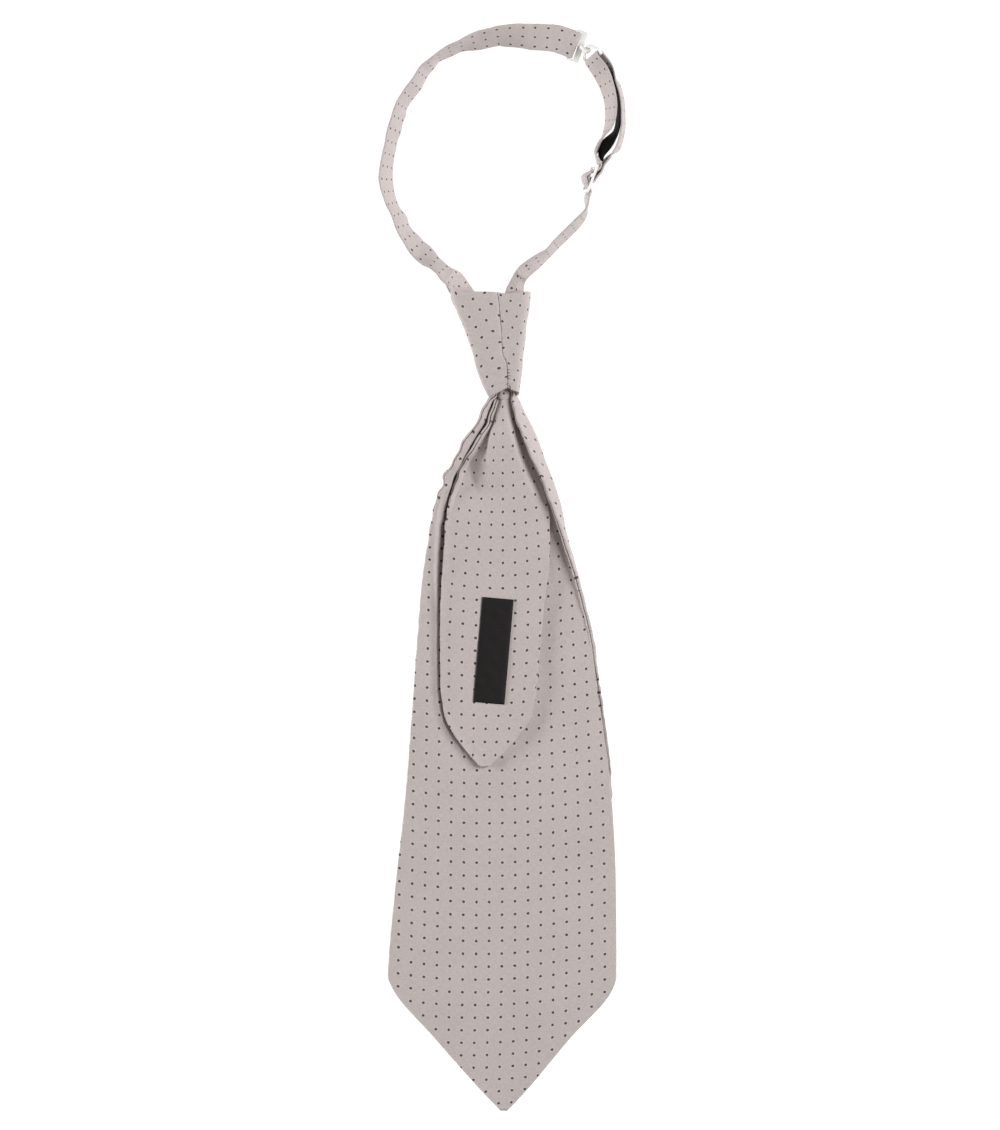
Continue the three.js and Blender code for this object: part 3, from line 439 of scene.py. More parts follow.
def along(keys, values, at):
    """The table's value at each key, without overshoot between rows."""
    slopes = np.diff(values) / np.diff(keys)
    product = slopes[:-1] * slopes[1:]
    total = np.where(product > 0, slopes[:-1] + slopes[1:], 1)
    tangents = np.concatenate(([slopes[0]], np.where(product > 0, 2 * product / total, 0), [slopes[-1]]))
    at = np.clip(at, keys[0], keys[-1])
    i = np.clip(np.searchsorted(keys, at, side="right") - 1, 0, len(keys) - 2)
    span = keys[i + 1] - keys[i]
    t = (at - keys[i]) / span
    return (
        values[i] * (1 + 2 * t) * (1 - t) ** 2
        + tangents[i] * span * t * (1 - t) ** 2
        + values[i + 1] * t * t * (3 - 2 * t)
        - tangents[i + 1] * span * t * t * (1 - t)
    )


def columns_at(rows, key, at):
    return {name: along(rows[key], values, at) for name, values in rows.items()}


def smooth_curves(controls, steps):
    """Centripetal curves through controls (curves, points, axes), with the same steps between each two."""
    first = 2 * controls[:, :1] - controls[:, 1:2]
    last = 2 * controls[:, -1:] - controls[:, -2:-1]
    p = np.concatenate([first, controls, last], axis=1)
    gaps = np.maximum(np.linalg.norm(np.diff(p, axis=1), axis=2), 1e-8) ** 0.5
    before, middle, after = (gaps[:, k : k + controls.shape[1] - 1, None] for k in range(3))
    p0, p1, p2, p3 = (p[:, k : k + controls.shape[1] - 1] for k in range(4))
    start = ((p1 - p0) / before - (p2 - p0) / (before + middle) + (p2 - p1) / middle) * middle
    end = ((p2 - p1) / middle - (p3 - p1) / (middle + after) + (p3 - p2) / after) * middle
    t = (np.arange(steps) / steps)[None, None, :, None]
    a, b, s, e = (x[:, :, None, :] for x in (p1, p2, start, end))
    c2 = -3 * a + 3 * b - 2 * s - e
    c3 = 2 * a - 2 * b + s + e
    curve = a + s * t + c2 * t**2 + c3 * t**3
    count = curve.shape[0]
    return np.concatenate([curve.reshape(count, -1, controls.shape[2]), controls[:, -1:]], axis=1)


def lengths_of(points):
    steps = np.linalg.norm(np.diff(points, axis=0), axis=1)
    return np.concatenate(([0.0], np.cumsum(steps)))


def at_lengths(points, distances, lengths=None):
    lengths = lengths_of(points) if lengths is None else lengths
    return np.stack([np.interp(distances, lengths, points[:, k]) for k in range(points.shape[1])], axis=1)


def drift(u, v, size, seed):
    """A smooth field of about -1 to 1 over cloth lengths in millimetres, the same on each run."""
    random = np.random.default_rng(seed)
    total = np.zeros(np.broadcast(u, v).shape)
    count = 7
    for _ in range(count):
        turn = random.uniform(0, 2 * math.pi)
        wave = size * random.uniform(0.7, 1.5)
        phase = random.uniform(0, 2 * math.pi)
        total += np.sin(2 * math.pi * (u * math.cos(turn) + v * math.sin(turn)) / wave + phase)
    return total / math.sqrt(count)


def mesh_object(name, points, faces, uv, material):
    """A piece from points in millimetres, whose UV map holds the cloth's own lengths in metres."""
    mesh = bpy.data.meshes.new(name)
    placed = np.asarray(points).reshape(-1, 3) + CENTRED
    placed[:, 2] = np.maximum(placed[:, 2], LOWEST)
    placed *= TO_METRES
    mesh.from_pydata(placed.tolist(), [], faces)
    layer = mesh.uv_layers.new(name="cloth")
    corner = np.empty(len(mesh.loops), dtype=np.int32)
    mesh.loops.foreach_get("vertex_index", corner)
    flat = np.asarray(uv).reshape(-1, 2)[corner] * TO_METRES
    layer.data.foreach_set("uv", flat.ravel().astype(np.float32))
    mesh.polygons.foreach_set("use_smooth", [True] * len(mesh.polygons))
    mesh.materials.append(material)
    mesh.update()
    piece = bpy.data.objects.new(name, mesh)
    bpy.context.scene.collection.objects.link(piece)
    return piece


def two_sided(upper, lower, upper_uv, lower_uv):
    """Points, faces and UVs of a closed cloth from two grids of one shape that share their rim."""
    rows, columns = upper.shape[:2]
    inside = np.zeros((rows, columns), bool)
    inside[1:-1, 1:-1] = True
    top = np.arange(rows * columns).reshape(rows, columns)
    bottom = top.copy()
    bottom[inside] = rows * columns + np.arange(inside.sum())
    points = np.concatenate([upper.reshape(-1, 3), lower[inside]])
    flat_uv = np.concatenate([upper_uv.reshape(-1, 2), lower_uv[inside]])

    def quads(index, flip):
        a, b = index[:-1, :-1], index[:-1, 1:]
        c, d = index[1:, 1:], index[1:, :-1]
        order = (a, d, c, b) if flip else (a, b, c, d)
        return np.stack(order, axis=-1).reshape(-1, 4)

    faces = np.concatenate([quads(top, True), quads(bottom, False)])
    return points, faces.tolist(), flat_uv


def tube(rings, uv):
    """Points, faces and UVs of a closed tube along rings of points, with each end closed by a fan."""
    count, around = rings.shape[:2]
    index = np.arange(count * around).reshape(count, around)
    a, b = index[:-1], np.roll(index[:-1], -1, axis=1)
    c, d = np.roll(index[1:], -1, axis=1), index[1:]
    faces = np.stack([a, d, c, b], axis=-1).reshape(-1, 4).tolist()
    points = np.concatenate([rings.reshape(-1, 3), rings[0].mean(0)[None], rings[-1].mean(0)[None]])
    flat_uv = np.concatenate([uv.reshape(-1, 2), uv[0].mean(0)[None], uv[-1].mean(0)[None]])
    start, end = count * around, count * around + 1
    for k in range(around):
        after = (k + 1) % around
        faces.append((start, index[0, k], index[0, after]))
        faces.append((end, index[-1, after], index[-1, k]))
    return points, faces, flat_uv


def recalculated(piece):
    """The same piece with its faces turned outwards."""
    mesh = piece.data
    points = np.array([v.co for v in mesh.vertices])
    total = 0.0
    mesh.calc_loop_triangles()
    for triangle in mesh.loop_triangles:
        a, b, c = (points[i] for i in triangle.vertices)
        total += float(np.dot(a, np.cross(b, c)))
    if total < 0:
        mesh.flip_normals()
    return piece


# Materials


def add_node(tree, kind, inputs=None, **settings):
    """A node with its settings, and its inputs: numbers, colours, sockets, or nodes (first output)."""
    node = tree.nodes.new(kind)
    for name, value in settings.items():
        setattr(node, name, value)
    for name, value in (inputs or {}).items():
        if isinstance(value, bpy.types.Node):
            value = next(output for output in value.outputs if output.enabled)
        if isinstance(value, bpy.types.NodeSocket):
            tree.links.new(value, node.inputs[name])
        else:
            node.inputs[name].default_value = value
    return node


def start_material(name):
    """A new material, and the function that adds nodes to it."""
    material = bpy.data.materials.new(name)
    material.use_nodes = True
    material.node_tree.nodes.clear()
    return material, functools.partial(add_node, material.node_tree)


def dotted_silk(look):
    """Matt silk twill with small woven dots: soft, even light with a faint bloom at the folds."""
    material, add = start_material("dotted_silk_twill")
    flat = {"noise_dimensions": "2D"}
    cloth = add("ShaderNodeUVMap", uv_map="cloth")
    parts = add("ShaderNodeSeparateXYZ", {0: cloth})
    # Cells are counted from far off the cloth, where no count is below 0, and a dot is half a cell in.
    steps = ("DIVIDE", "ADD", "FRACT", "SUBTRACT", "MULTIPLY")
    squares = []
    for axis, spacing in (("X", look.dot_across), ("Y", look.dot_down)):
        offset = parts.outputs[axis]
        for operation, amount in zip(steps, (spacing, 200.5, 0.0, 0.5, spacing)):
            offset = add("ShaderNodeMath", {0: offset, 1: amount}, operation=operation)
        squares.append(add("ShaderNodeMath", {0: offset, 1: offset}, operation="MULTIPLY"))
    total = add("ShaderNodeMath", dict(enumerate(squares)), operation="ADD")
    away = add("ShaderNodeMath", {0: total}, operation="SQRT")
    fuzz = {"Vector": cloth, "Scale": 1 / (2 * look.thread), "Detail": 2.0}
    rag = add("ShaderNodeTexNoise", fuzz, **flat)
    either_way = add("ShaderNodeMath", {0: rag, 1: 0.5}, operation="SUBTRACT")
    ragged = add("ShaderNodeMath", {0: either_way, 1: look.thread}, operation="MULTIPLY")
    reach = add("ShaderNodeMath", {0: away, 1: ragged}, operation="ADD")
    half = look.dot_size / 2
    shown = []
    for outside, inside in ((0.0002, -0.0002), (0.0009, 0.0001)):
        fade = {"Value": reach, "From Min": half + outside, "From Max": half + inside}
        shown.append(add("ShaderNodeMapRange", fade, interpolation_type="SMOOTHSTEP"))
    dot, halo = shown
    # Threads of about 0.15 mm are too fine to show, so slubs are drawn look.thread wide, and longer.
    slubs = []
    for wide, high in ((1.0, 0.22), (0.22, 1.0)):
        scale = (wide / look.thread, high / look.thread, 1.0)
        mapped = add("ShaderNodeMapping", {"Vector": cloth, "Scale": scale})
        spots = {"Vector": mapped, "Scale": 1.0, "Detail": 2.0, "Roughness": 0.6}
        slubs.append(add("ShaderNodeTexNoise", spots, **flat))
    both = add("ShaderNodeMath", dict(enumerate(slubs)), operation="ADD")
    weave = add("ShaderNodeMath", {0: both, 1: 0.5}, operation="MULTIPLY")
    cloudy = add("ShaderNodeTexNoise", {"Vector": cloth, "Scale": 28.0, "Detail": 3.0}, **flat)
    shades = {"Factor": cloudy, "A": (*look.cloth_shade, 1), "B": (*look.cloth, 1)}
    shade = add("ShaderNodeMix", shades, data_type="RGBA")
    tones = {"Value": weave, "From Min": 0.3, "From Max": 0.7, "To Min": 0.89, "To Max": 1.09}
    lit = {"Factor": 1.0, "A": shade, "B": add("ShaderNodeMapRange", tones)}
    toned = add("ShaderNodeMix", lit, data_type="RGBA", blend_type="MULTIPLY")
    paler = add("ShaderNodeMath", {0: halo, 1: 0.45}, operation="MULTIPLY")
    ringed = add("ShaderNodeMix", {"Factor": paler, "A": toned, "B": (*look.halo, 1)}, data_type="RGBA")
    coloured = add("ShaderNodeMix", {"Factor": dot, "A": ringed, "B": (*look.dot, 1)}, data_type="RGBA")
    raised = add("ShaderNodeMath", {0: dot, 1: 0.5}, operation="MULTIPLY")
    height = add("ShaderNodeMath", {0: weave, 1: raised}, operation="ADD")
    bump = add("ShaderNodeBump", {"Height": height, "Strength": 0.35, "Distance": 0.0003})
    matt = {"Value": weave, "To Min": look.roughness - 0.08, "To Max": look.roughness + 0.08}
    finish = {
        "Base Color": coloured,
        "Roughness": add("ShaderNodeMapRange", matt),
        "Normal": bump,
        "Specular IOR Level": 0.35,
        "Sheen Weight": 0.12,
        "Sheen Roughness": 0.45,
    }
    add("ShaderNodeOutputMaterial", {"Surface": add("ShaderNodeBsdfPrincipled", finish)})
    return material


def plain_weave(name, colour, light, thread, roughness, ribbed):
    """A plain dark ribbon: threads across it catch the light in fine lines."""
    material, add = start_material(name)
    cloth = add("ShaderNodeUVMap", uv_map="cloth")
    mapped = add("ShaderNodeMapping", {"Vector": cloth, "Scale": (0.15 / thread, 1 / thread, 1.0)})
    spots = {"Vector": mapped, "Scale": 1.0, "Detail": 3.0}
    threads = add("ShaderNodeTexNoise", spots, noise_dimensions="2D")
    waves = {"Vector": cloth, "Scale": 1 / (6.28 * thread), "Distortion": 0.6}
    ribs = add("ShaderNodeTexWave", waves, bands_direction="Y").outputs["Fac"]
    shares = []
    for pattern, share in ((threads, 1 - ribbed), (ribs, ribbed)):
        shares.append(add("ShaderNodeMath", {0: pattern, 1: share}, operation="MULTIPLY"))
    mixed = add("ShaderNodeMath", dict(enumerate(shares)), operation="ADD")
    shades = {"Factor": mixed, "A": (*colour, 1), "B": (*light, 1)}
    finish = {
        "Base Color": add("ShaderNodeMix", shades, data_type="RGBA"),
        "Normal": add("ShaderNodeBump", {"Height": mixed, "Strength": 0.4, "Distance": 0.0003}),
        "Roughness": roughness,
        "Specular IOR Level": 0.25,
    }
    add("ShaderNodeOutputMaterial", {"Surface": add("ShaderNodeBsdfPrincipled", finish)})
    return material


def moulded_plastic(look):
    """Injection-moulded acetal: milky white, with soft highlights and a faint mould texture."""
    material, add = start_material("moulded_white_acetal")
    place = add("ShaderNodeTexCoord").outputs["Object"]
    clouds = add("ShaderNodeTexNoise", {"Vector": place, "Scale": 260.0, "Detail": 3.0})
    grain = add("ShaderNodeTexNoise", {"Vector": place, "Scale": 2200.0, "Detail": 2.0})
    shades = {"Factor": clouds, "A": (*look.plastic_shade, 1), "B": (*look.plastic, 1)}
    finish = {
        "Base Color": add("ShaderNodeMix", shades, data_type="RGBA"),
        "Roughness": add("ShaderNodeMapRange", {"Value": grain, "To Min": 0.28, "To Max": 0.46}),
        "Normal": add("ShaderNodeBump", {"Height": grain, "Strength": 0.15, "Distance": 0.0001}),
        "IOR": 1.48,
        "Subsurface Weight": 0.15,
        "Subsurface Radius": (0.002, 0.0018, 0.0015),
        "Subsurface Scale": 1.0,
    }
    add("ShaderNodeOutputMaterial", {"Surface": add("ShaderNodeBsdfPrincipled", finish)})
    return material


def opal_acrylic(look):
    """Opal acrylic over a lamp: even white, with only a trace of the shadows that fall on it."""
    material, add = start_material("opal_acrylic_table")
    place = add("ShaderNodeTexCoord").outputs["Object"]
    fibre = add("ShaderNodeTexNoise", {"Vector": place, "Scale": 900.0, "Detail": 3.0})
    finish = {
        "Normal": add("ShaderNodeBump", {"Height": fibre, "Strength": 0.05, "Distance": 0.0001}),
        "Base Color": (*(0.16 * channel for channel in look.floor), 1),
        "Emission Color": (*look.floor, 1),
        "Emission Strength": look.glow,
        "Roughness": 0.9,
        "Specular IOR Level": 0.1,
    }
    add("ShaderNodeOutputMaterial", {"Surface": add("ShaderNodeBsdfPrincipled", finish)})
    return material


# Shapes


def squircle(angle, half_width, half_depth, squareness=KNOT_SQUARENESS):
    def power(v):
        return np.sign(v) * np.abs(v) ** (2 / squareness)

    return half_width * power(np.cos(angle)), half_depth * power(np.sin(angle))


def knot_section(rise):
    row = columns_at(KNOT, "rise", np.clip(rise, 0, 1))
    left = mix(NECK_MIDDLE - KNOT_BOTTOM[0] / 2, KNOT_LEAN - KNOT_TOP[0] / 2, row["left"])
    right = mix(NECK_MIDDLE + KNOT_BOTTOM[0] / 2, KNOT_LEAN + KNOT_TOP[0] / 2, row["right"])
    depth = mix(KNOT_BOTTOM[1], KNOT_TOP[1], np.clip(rise, 0, 1))
    return (left + right) / 2, (right - left) / 2, depth / 2


def knot_floor(x, y):
    middle, half_width, half_depth = knot_section(y / KNOT_HEIGHT)
    share = np.minimum(np.abs(x - middle) / (half_width - KNOT_WALL), 0.97)
    sag = (half_depth - KNOT_WALL) * (1 - share**KNOT_SQUARENESS) ** (1 / KNOT_SQUARENESS)
    beyond = smooth_step(y, KNOT_HEIGHT + BAND_WIDTH / 2, KNOT_HEIGHT + 2 * BAND_WIDTH)
    return (half_depth - sag + CLEARANCE) * (1 - beyond)


def blade_controls(drop):
    row = columns_at(BLADE, "drop", drop / BLADE_LENGTH)
    left, right = row["left"] * BLADE_WIDTH, row["right"] * BLADE_WIDTH
    slope, turn = row["slope_left"] * BLADE_WIDTH, row["turn_right"] * BLADE_WIDTH
    curl = row["curl"] * BLADE_WIDTH

    def height(lift):
        return BLADE_LEVEL + (row["rest"] + lift) * FOLD_LIFT

    open_points = [
        (left, height(row["lift_left"])),
        (left + 0.82 * slope, height(0.8 * row["lift_left"])),
        (left + 0.95 * slope, height(0)),
        (right - turn, height(0)),
        (right, height(0.34 * row["lift_right"])),
        (right - 0.42 * curl, height(0.74 * row["lift_right"])),
        (right - curl, height(row["lift_right"])),
    ]
    neck_points = []
    for degrees in (150, 186, 228, 312, 354, 378, 390):
        x, z = squircle(math.radians(degrees), NECK_HALF, NECK_DEPTH)
        neck_points.append((NECK_MIDDLE + x, KNOT_BOTTOM[1] / 2 + z))
    gathered = 1 - smooth_step(drop, 0, BLADE["drop"][0] * BLADE_LENGTH)
    mixed = [
        np.stack([mix(a[k], b[k], gathered) for k in range(2)], axis=-1)
        for a, b in zip(open_points, neck_points)
    ]
    foot_left, foot_right = mixed[2], mixed[3]
    flat = (foot_left[:, 1] + foot_right[:, 1]) / 2
    dimple = row["dimple"] * FOLD_LIFT * (1 - gathered)
    middle_x = (foot_left[:, 0] + foot_right[:, 0]) / 2
    middle = np.stack([middle_x, flat + dimple + (NECK_FLOOR - flat) * gathered], axis=-1)
    return np.stack([*mixed[:3], middle, *mixed[3:]], axis=1), 3


def tail_controls(drop):
    row = columns_at(TAIL, "drop", drop / TAIL_LENGTH)

    def place(across, lift):
        return across * TAIL_WIDTH, TAIL_LEVEL + lift * FOLD_LIFT

    open_points = [
        place(row["left"], row["lift_left"]),
        place(
            0.45 * row["left"] + 0.55 * row["crease"], 0.3 * row["lift_left"] + 0.7 * row["crease_lift"]
        ),
        place(row["crease"], row["crease_lift"]),
        place(
            0.5 * row["crease"] + 0.5 * row["ridge"], 0.28 * row["crease_lift"] + 0.72 * row["ridge_lift"]
        ),
        place(row["ridge"], row["ridge_lift"]),
        place(0.45 * row["ridge"] + 0.55 * row["right"], 0.4 * row["ridge_lift"] + 0.6 * row["lift_right"]),
        place(row["right"], row["lift_right"]),
    ]
    half = NECK_HALF - OVER - CLEARANCE - OVER - LAYER_GAP
    foot = NECK_FLOOR + OVER + CLEARANCE + 0.35 * NECK_DEPTH
    height = NECK_CEILING - foot
    neck_points = [
        (-half, foot),
        (-half, foot + 0.35 * height),
        (-half, foot + 0.7 * height),
        (-0.6 * half, NECK_CEILING),
        (0.6 * half, NECK_CEILING),
        (half, foot + 0.6 * height),
        (half, foot),
    ]
    gathered = 1 - smooth_step(drop, 0, TAIL["drop"][0] * TAIL_LENGTH)
    mixed = [
        np.stack([mix(a[0], NECK_MIDDLE + b[0], gathered), mix(a[1], b[1], gathered)], axis=-1)
        for a, b in zip(open_points, neck_points)
    ]
    return np.stack(mixed, axis=1), 3


def dot_place(dots, across, drop):
    """Where cloth lies in the woven pattern, in mm: a dot stands at each whole cell."""
    s = across / dots["reach"]
    d = (np.maximum(drop, dots["start"]) - dots["middle"]) / dots["span"]
    cells = []
    for name, size in zip(("across", "down"), DOT_CELL):
        cells.append(size * sum(share * s**i * d**j for share, (i, j) in zip(dots[name], POWERS)))
    cells[1] = cells[1] + np.minimum(drop - dots["start"], 0)
    return np.stack(cells, axis=-1)


def tail_edge(drop):
    return along(TAIL["drop"], TAIL["left"], drop / TAIL_LENGTH) * TAIL_WIDTH


def blade_relief(x, drop):
    """The blade puffs up beside the tail and dips just under the tail's left edge."""
    beside = x - tail_edge(drop)
    reach = smooth_step(drop, 28, 60) * (1 - smooth_step(drop, 196, 206))
    wide = 1 - 0.55 * smooth_step(drop, 85, 125)
    puff = 2.3 * wide * swell(beside, -3.2 * wide, 1.7 * wide)
    dip = 1.4 * swell(beside, -0.4, 1.2 * wide)
    return reach * (puff - dip)


def tail_relief(x, drop):
    """The centre pleat's sharp crease, and the left edge that curls up from the blade."""
    row = columns_at(PLEAT, "drop", drop)
    cloth = columns_at(TAIL, "drop", drop / TAIL_LENGTH)
    left = cloth["left"] * TAIL_WIDTH
    beside = x - row["crease"]
    share = np.clip(-beside / np.maximum(row["crease"] - left, 0.5), 0, 1)
    lying = cloth["crease_lift"] + (cloth["lift_left"] - cloth["crease_lift"]) * share**1.5
    top = row["rise"] + cloth["crease_lift"] * FOLD_LIFT
    steep = np.clip(top / np.maximum(row["crease"] - left - 1.5, 1.0), 0.6, 1.1)
    sloped = np.maximum(top + steep * beside, -0.2)
    wing = (sloped - lying * FOLD_LIFT) * row["wing"] * smooth_step(x - left, 0.8, 2.6)
    pleat = np.where(beside < 0, wing, row["rise"] * row["wing"] * swell(beside, 0, 9))
    pleat = pleat - row["depth"] * swell(x, row["valley"], 2.8)
    curl = 0.9 * swell(x, left, 2.8) * smooth_step(drop, 50, 90)
    return pleat + curl


def panel_side(controls_at, length, edge, between, wear, dots, relief, seed):
    """One side of a lined panel down to its hem: a grid of points, and their places in the pattern."""
    body = np.arange(-NECK_LENGTH, length - 6, 1.5)
    drops = np.concatenate([body, length - edge[::-1, 0]])
    closing = np.concatenate([[0.0], np.ones(len(body) - 1), edge[::-1, 1] / edge[-1, 1]])
    controls, middle = controls_at(drops)
    curves = smooth_curves(controls, 24)
    curves[:, :, 1] = np.maximum(curves[:, :, 1], controls[:, :, 1].min(axis=1)[:, None])
    ahead, behind = (smooth_curves(controls_at(drops + step)[0], 24) for step in (0.5, -0.5))
    change = ahead - behind
    steep = 1 / np.sqrt(1 + np.minimum(np.abs(change[:, [0, -1], 0]), 3) ** 2)
    level = np.zeros(curves.shape[:2])
    sideways = np.gradient(curves, axis=1)
    tangents = unit(np.stack([sideways[..., 0], level, sideways[..., 1]], axis=-1))
    downward = np.stack([change[..., 0], level - 1, change[..., 1]], axis=-1)
    normals = unit(np.cross(downward, tangents))
    row = columns_at(wear, "drop", drops)
    rows = []
    for i in range(len(drops)):
        lengths = lengths_of(curves[i])
        total = lengths[-1]
        fit = min(1.0, 0.42 * total * steep[i].min() / edge[-1, 0])
        left = edge[:, 0] * fit * row["hem_left"][i] / steep[i, 0]
        right = total - (edge[:, 0] * fit * row["hem_right"][i] / steep[i, 1])[::-1]
        at = np.concatenate([left, np.linspace(left[-1], right[0], between + 2)[1:-1], right])
        placed = at_lengths(np.concatenate([curves[i], normals[i], tangents[i]], axis=1), at, lengths)
        across = at - lengths[middle * 24] + controls[i, middle, 0]
        margin = np.minimum(at * steep[i, 0], (total - at) * steep[i, 1])
        rows.append(np.column_stack([placed, across, margin]))
    rows = np.array(rows)
    normal, tangent = unit(rows[..., 2:5]), rows[..., 5:8]
    across, margin = rows[..., 8], rows[..., 9]
    down = np.repeat(drops[:, None], across.shape[1], axis=1)
    height = np.concatenate([edge[:, 1], np.full(between, edge[-1, 1]), edge[::-1, 1]]) * closing[:, None]
    is_left = np.arange(across.shape[1])[None, :] < across.shape[1] / 2
    ruffle = np.where(is_left, row["left"][:, None], row["right"][:, None]) * swell(margin, 0, 4)
    outwards = tangent * np.where(is_left, -1, 1)[..., None]
    lift = 0.7 * ruffle * drift(across * 0.1, down, 11, seed + 1)
    lift = lift + row["wave"][:, None] * drift(across, down * 0.4, 17, seed + 2)
    pucker = 1 + 0.15 * swell(margin, 0, 2.2) * drift(across * 0.2, down, 5, seed + 3)
    points = np.stack([rows[..., 0], -down, rows[..., 1] + relief(rows[..., 0], down)], axis=-1)
    points = points + outwards * (ruffle * drift(across * 0.1, down, 8, seed))[..., None]
    points = points + normal * (lift + height * pucker)[..., None]
    points[..., 2] = np.maximum(points[..., 2], LOWEST)
    return points, dot_place(dots, across, down)


def make_panel(name, controls_at, length, between, wear, dots, relief, material, seed):
    sides = []
    for edge in (LINING_EDGE, FACE_EDGE):
        sides.append(panel_side(controls_at, length, edge, between, wear, dots, relief, seed))
    (upper, upper_uv), (lower, lower_uv) = sides
    points, faces, uv = two_sided(upper, lower, upper_uv, lower_uv)
    return recalculated(mesh_object(name, points, faces, uv, material))


def wrap_grid(inset, rises, turns, seam_x, tuck, squareness):
    """Points on the knot's wrap at a distance in from its outside."""
    middle, half_width, half_depth = knot_section(rises)
    seam = np.arccos(((seam_x - middle) / half_width) ** (squareness / 2))
    overlap = KNOT_OVERLAP / half_width
    turned = turns[None, :] * (2 * math.pi + overlap[:, None])
    covered = 1 - smooth_step(turned / overlap[:, None], *tuck)
    inwards = inset + covered * (KNOT_WALL + CLEARANCE)
    angle = (seam - overlap)[:, None] + turned
    x, z = squircle(angle, half_width[:, None] - inwards, half_depth[:, None] - inwards, squareness)
    x = middle[:, None] + x
    rise = rises[:, None]
    shown = smooth_step(z / half_depth[:, None], 0, 0.8)
    low = along(LOW_RIM["x"], LOW_RIM["rise"], x) * (1 - rise) ** 4
    high = along(HIGH_RIM["x"], HIGH_RIM["rise"], x) * rise**8
    y = rise * KNOT_HEIGHT + shown * (low + high)
    return np.stack([x, y, half_depth[:, None] + z], axis=-1)


def rounder(x, z):
    """The height at which the solid's rounder section passes a place on the pressed one, both as shares."""
    at = np.minimum(np.abs(x), 0.97)
    solid = (1 - at**KNOT_SQUARENESS) ** (1 / KNOT_SQUARENESS)
    pressed = (1 - at**PRESSED_SQUARENESS) ** (1 / PRESSED_SQUARENESS)
    return z * solid / pressed


def wrap_pattern(rises, turns, x, z):
    """Where the wrap lies in the woven pattern: it rolls out flat as part of a cone."""
    middle, half_width, half_depth = knot_section(rises)
    straight = middle + half_width * mix(SEAM_SPREAD[0], SEAM_SPREAD[1], rises)
    plain = wrap_grid(0.0, rises, turns, straight, (0.9, 2.2), KNOT_SQUARENESS)
    plain[..., 1] = (rises * KNOT_HEIGHT)[:, None]
    share = np.empty(x.shape)
    for i in range(len(rises)):
        across, up = (x[i] - middle[i]) / half_width[i], z[i] / half_depth[i] - 1
        here = np.unwrap(np.arctan2(rounder(across, up), across))
        across, up = (plain[i, :, 0] - middle[i]) / half_width[i], plain[i, :, 2] / half_depth[i] - 1
        there = np.unwrap(np.arctan2(up, across))
        length = lengths_of(plain[i])
        here += 2 * math.pi * np.round((there[len(there) // 2] - here[len(here) // 2]) / (2 * math.pi))
        share[i] = np.interp(here, there, length / length[-1])
    radius = ((WRAP_ROUND + WRAP_WIDENING * rises * KNOT_HEIGHT) / WRAP_OPENING)[:, None]
    u = -radius * np.sin(WRAP_OPENING * share)
    v = radius * np.cos(WRAP_OPENING * share)
    around = 2 * math.pi * share
    rise = rises[:, None]
    sine, cosine = np.sin(around), np.cos(around)
    terms = (1, rise, sine, rise * sine, cosine, rise * cosine, np.sin(2 * around))
    across = u * math.cos(WRAP_BIAS) - v * math.sin(WRAP_BIAS)
    down = u * math.sin(WRAP_BIAS) + v * math.cos(WRAP_BIAS)
    places = []
    for name, along_it, size in (("across", across, DOT_CELL[0]), ("down", down, DOT_CELL[1])):
        places.append(along_it + size * sum(a * b for a, b in zip(KNOT_DOTS[name], terms)))
    return np.stack(places, axis=-1)


def knot_surface(x, y):
    """The height of the knot's upper side at a place."""
    middle, half_width, half_depth = knot_section(y / KNOT_HEIGHT)
    share = np.minimum(np.abs(x - middle) / half_width, 1)
    return half_depth * (1 + (1 - share**PRESSED_SQUARENESS) ** (1 / PRESSED_SQUARENESS))


def knot_sides():
    """The outer and the inner side of the knot's wrap, and the places of both in the woven pattern."""
    rim = np.array([0, 0.1, 0.35, 0.8, 1.4, 2.2]) / KNOT_HEIGHT
    rises = np.concatenate([rim, np.linspace(0.055, 0.945, 70), 1 - rim[::-1]])
    end = np.array([0, 0.0006, 0.0016, 0.003, 0.005])
    start = np.linspace(0.008, 0.14, 60)
    turns = np.concatenate([end, start, np.linspace(0.145, 0.985, 200), 1 - end[::-1]])
    height = rises[:, None] * KNOT_HEIGHT
    to_rim = np.minimum(height, KNOT_HEIGHT - height)
    to_end = np.minimum(turns, 1 - turns)[None, :] * 120
    thick = np.sqrt(1 - (1 - np.clip(to_rim / 0.8, 0, 1)) ** 2)
    thick = thick * np.sqrt(1 - (1 - np.clip(to_end / 0.35, 0, 1)) ** 2)
    seam_x = along(SEAM["rise"], SEAM["x"], rises)
    middle, outside, inside = (
        wrap_grid(inset, rises, turns, seam_x, (0.93, 1.06), PRESSED_SQUARENESS)
        for inset in (KNOT_WALL / 2, 0.0, KNOT_WALL)
    )
    upper = middle + (outside - middle) * thick[..., None]
    lower = middle + (inside - middle) * thick[..., None]
    place = wrap_pattern(rises, turns, outside[..., 0], outside[..., 2])
    inner = smooth_step(np.minimum(to_rim, to_end), 0.8, 5)
    ripple = 0.2 * drift(place[..., 0], place[..., 1], 19, 31) * inner
    return upper + unit(outside - inside) * ripple[..., None], lower, place


def stitch_paths():
    """Five short threads that lie over the foot of the knot's seam."""
    share = np.linspace(-1, 1, 9)
    paths = []
    for x, y, turn in zip(STITCHES["x"], STITCHES["y"], STITCHES["turn"]):
        across = x + 0.55 * share
        up = y + 0.35 * turn * share
        over = knot_surface(across, up) + 0.28 * (1 - share**2)
        paths.append(np.stack([across, up, over], axis=1))
    return paths


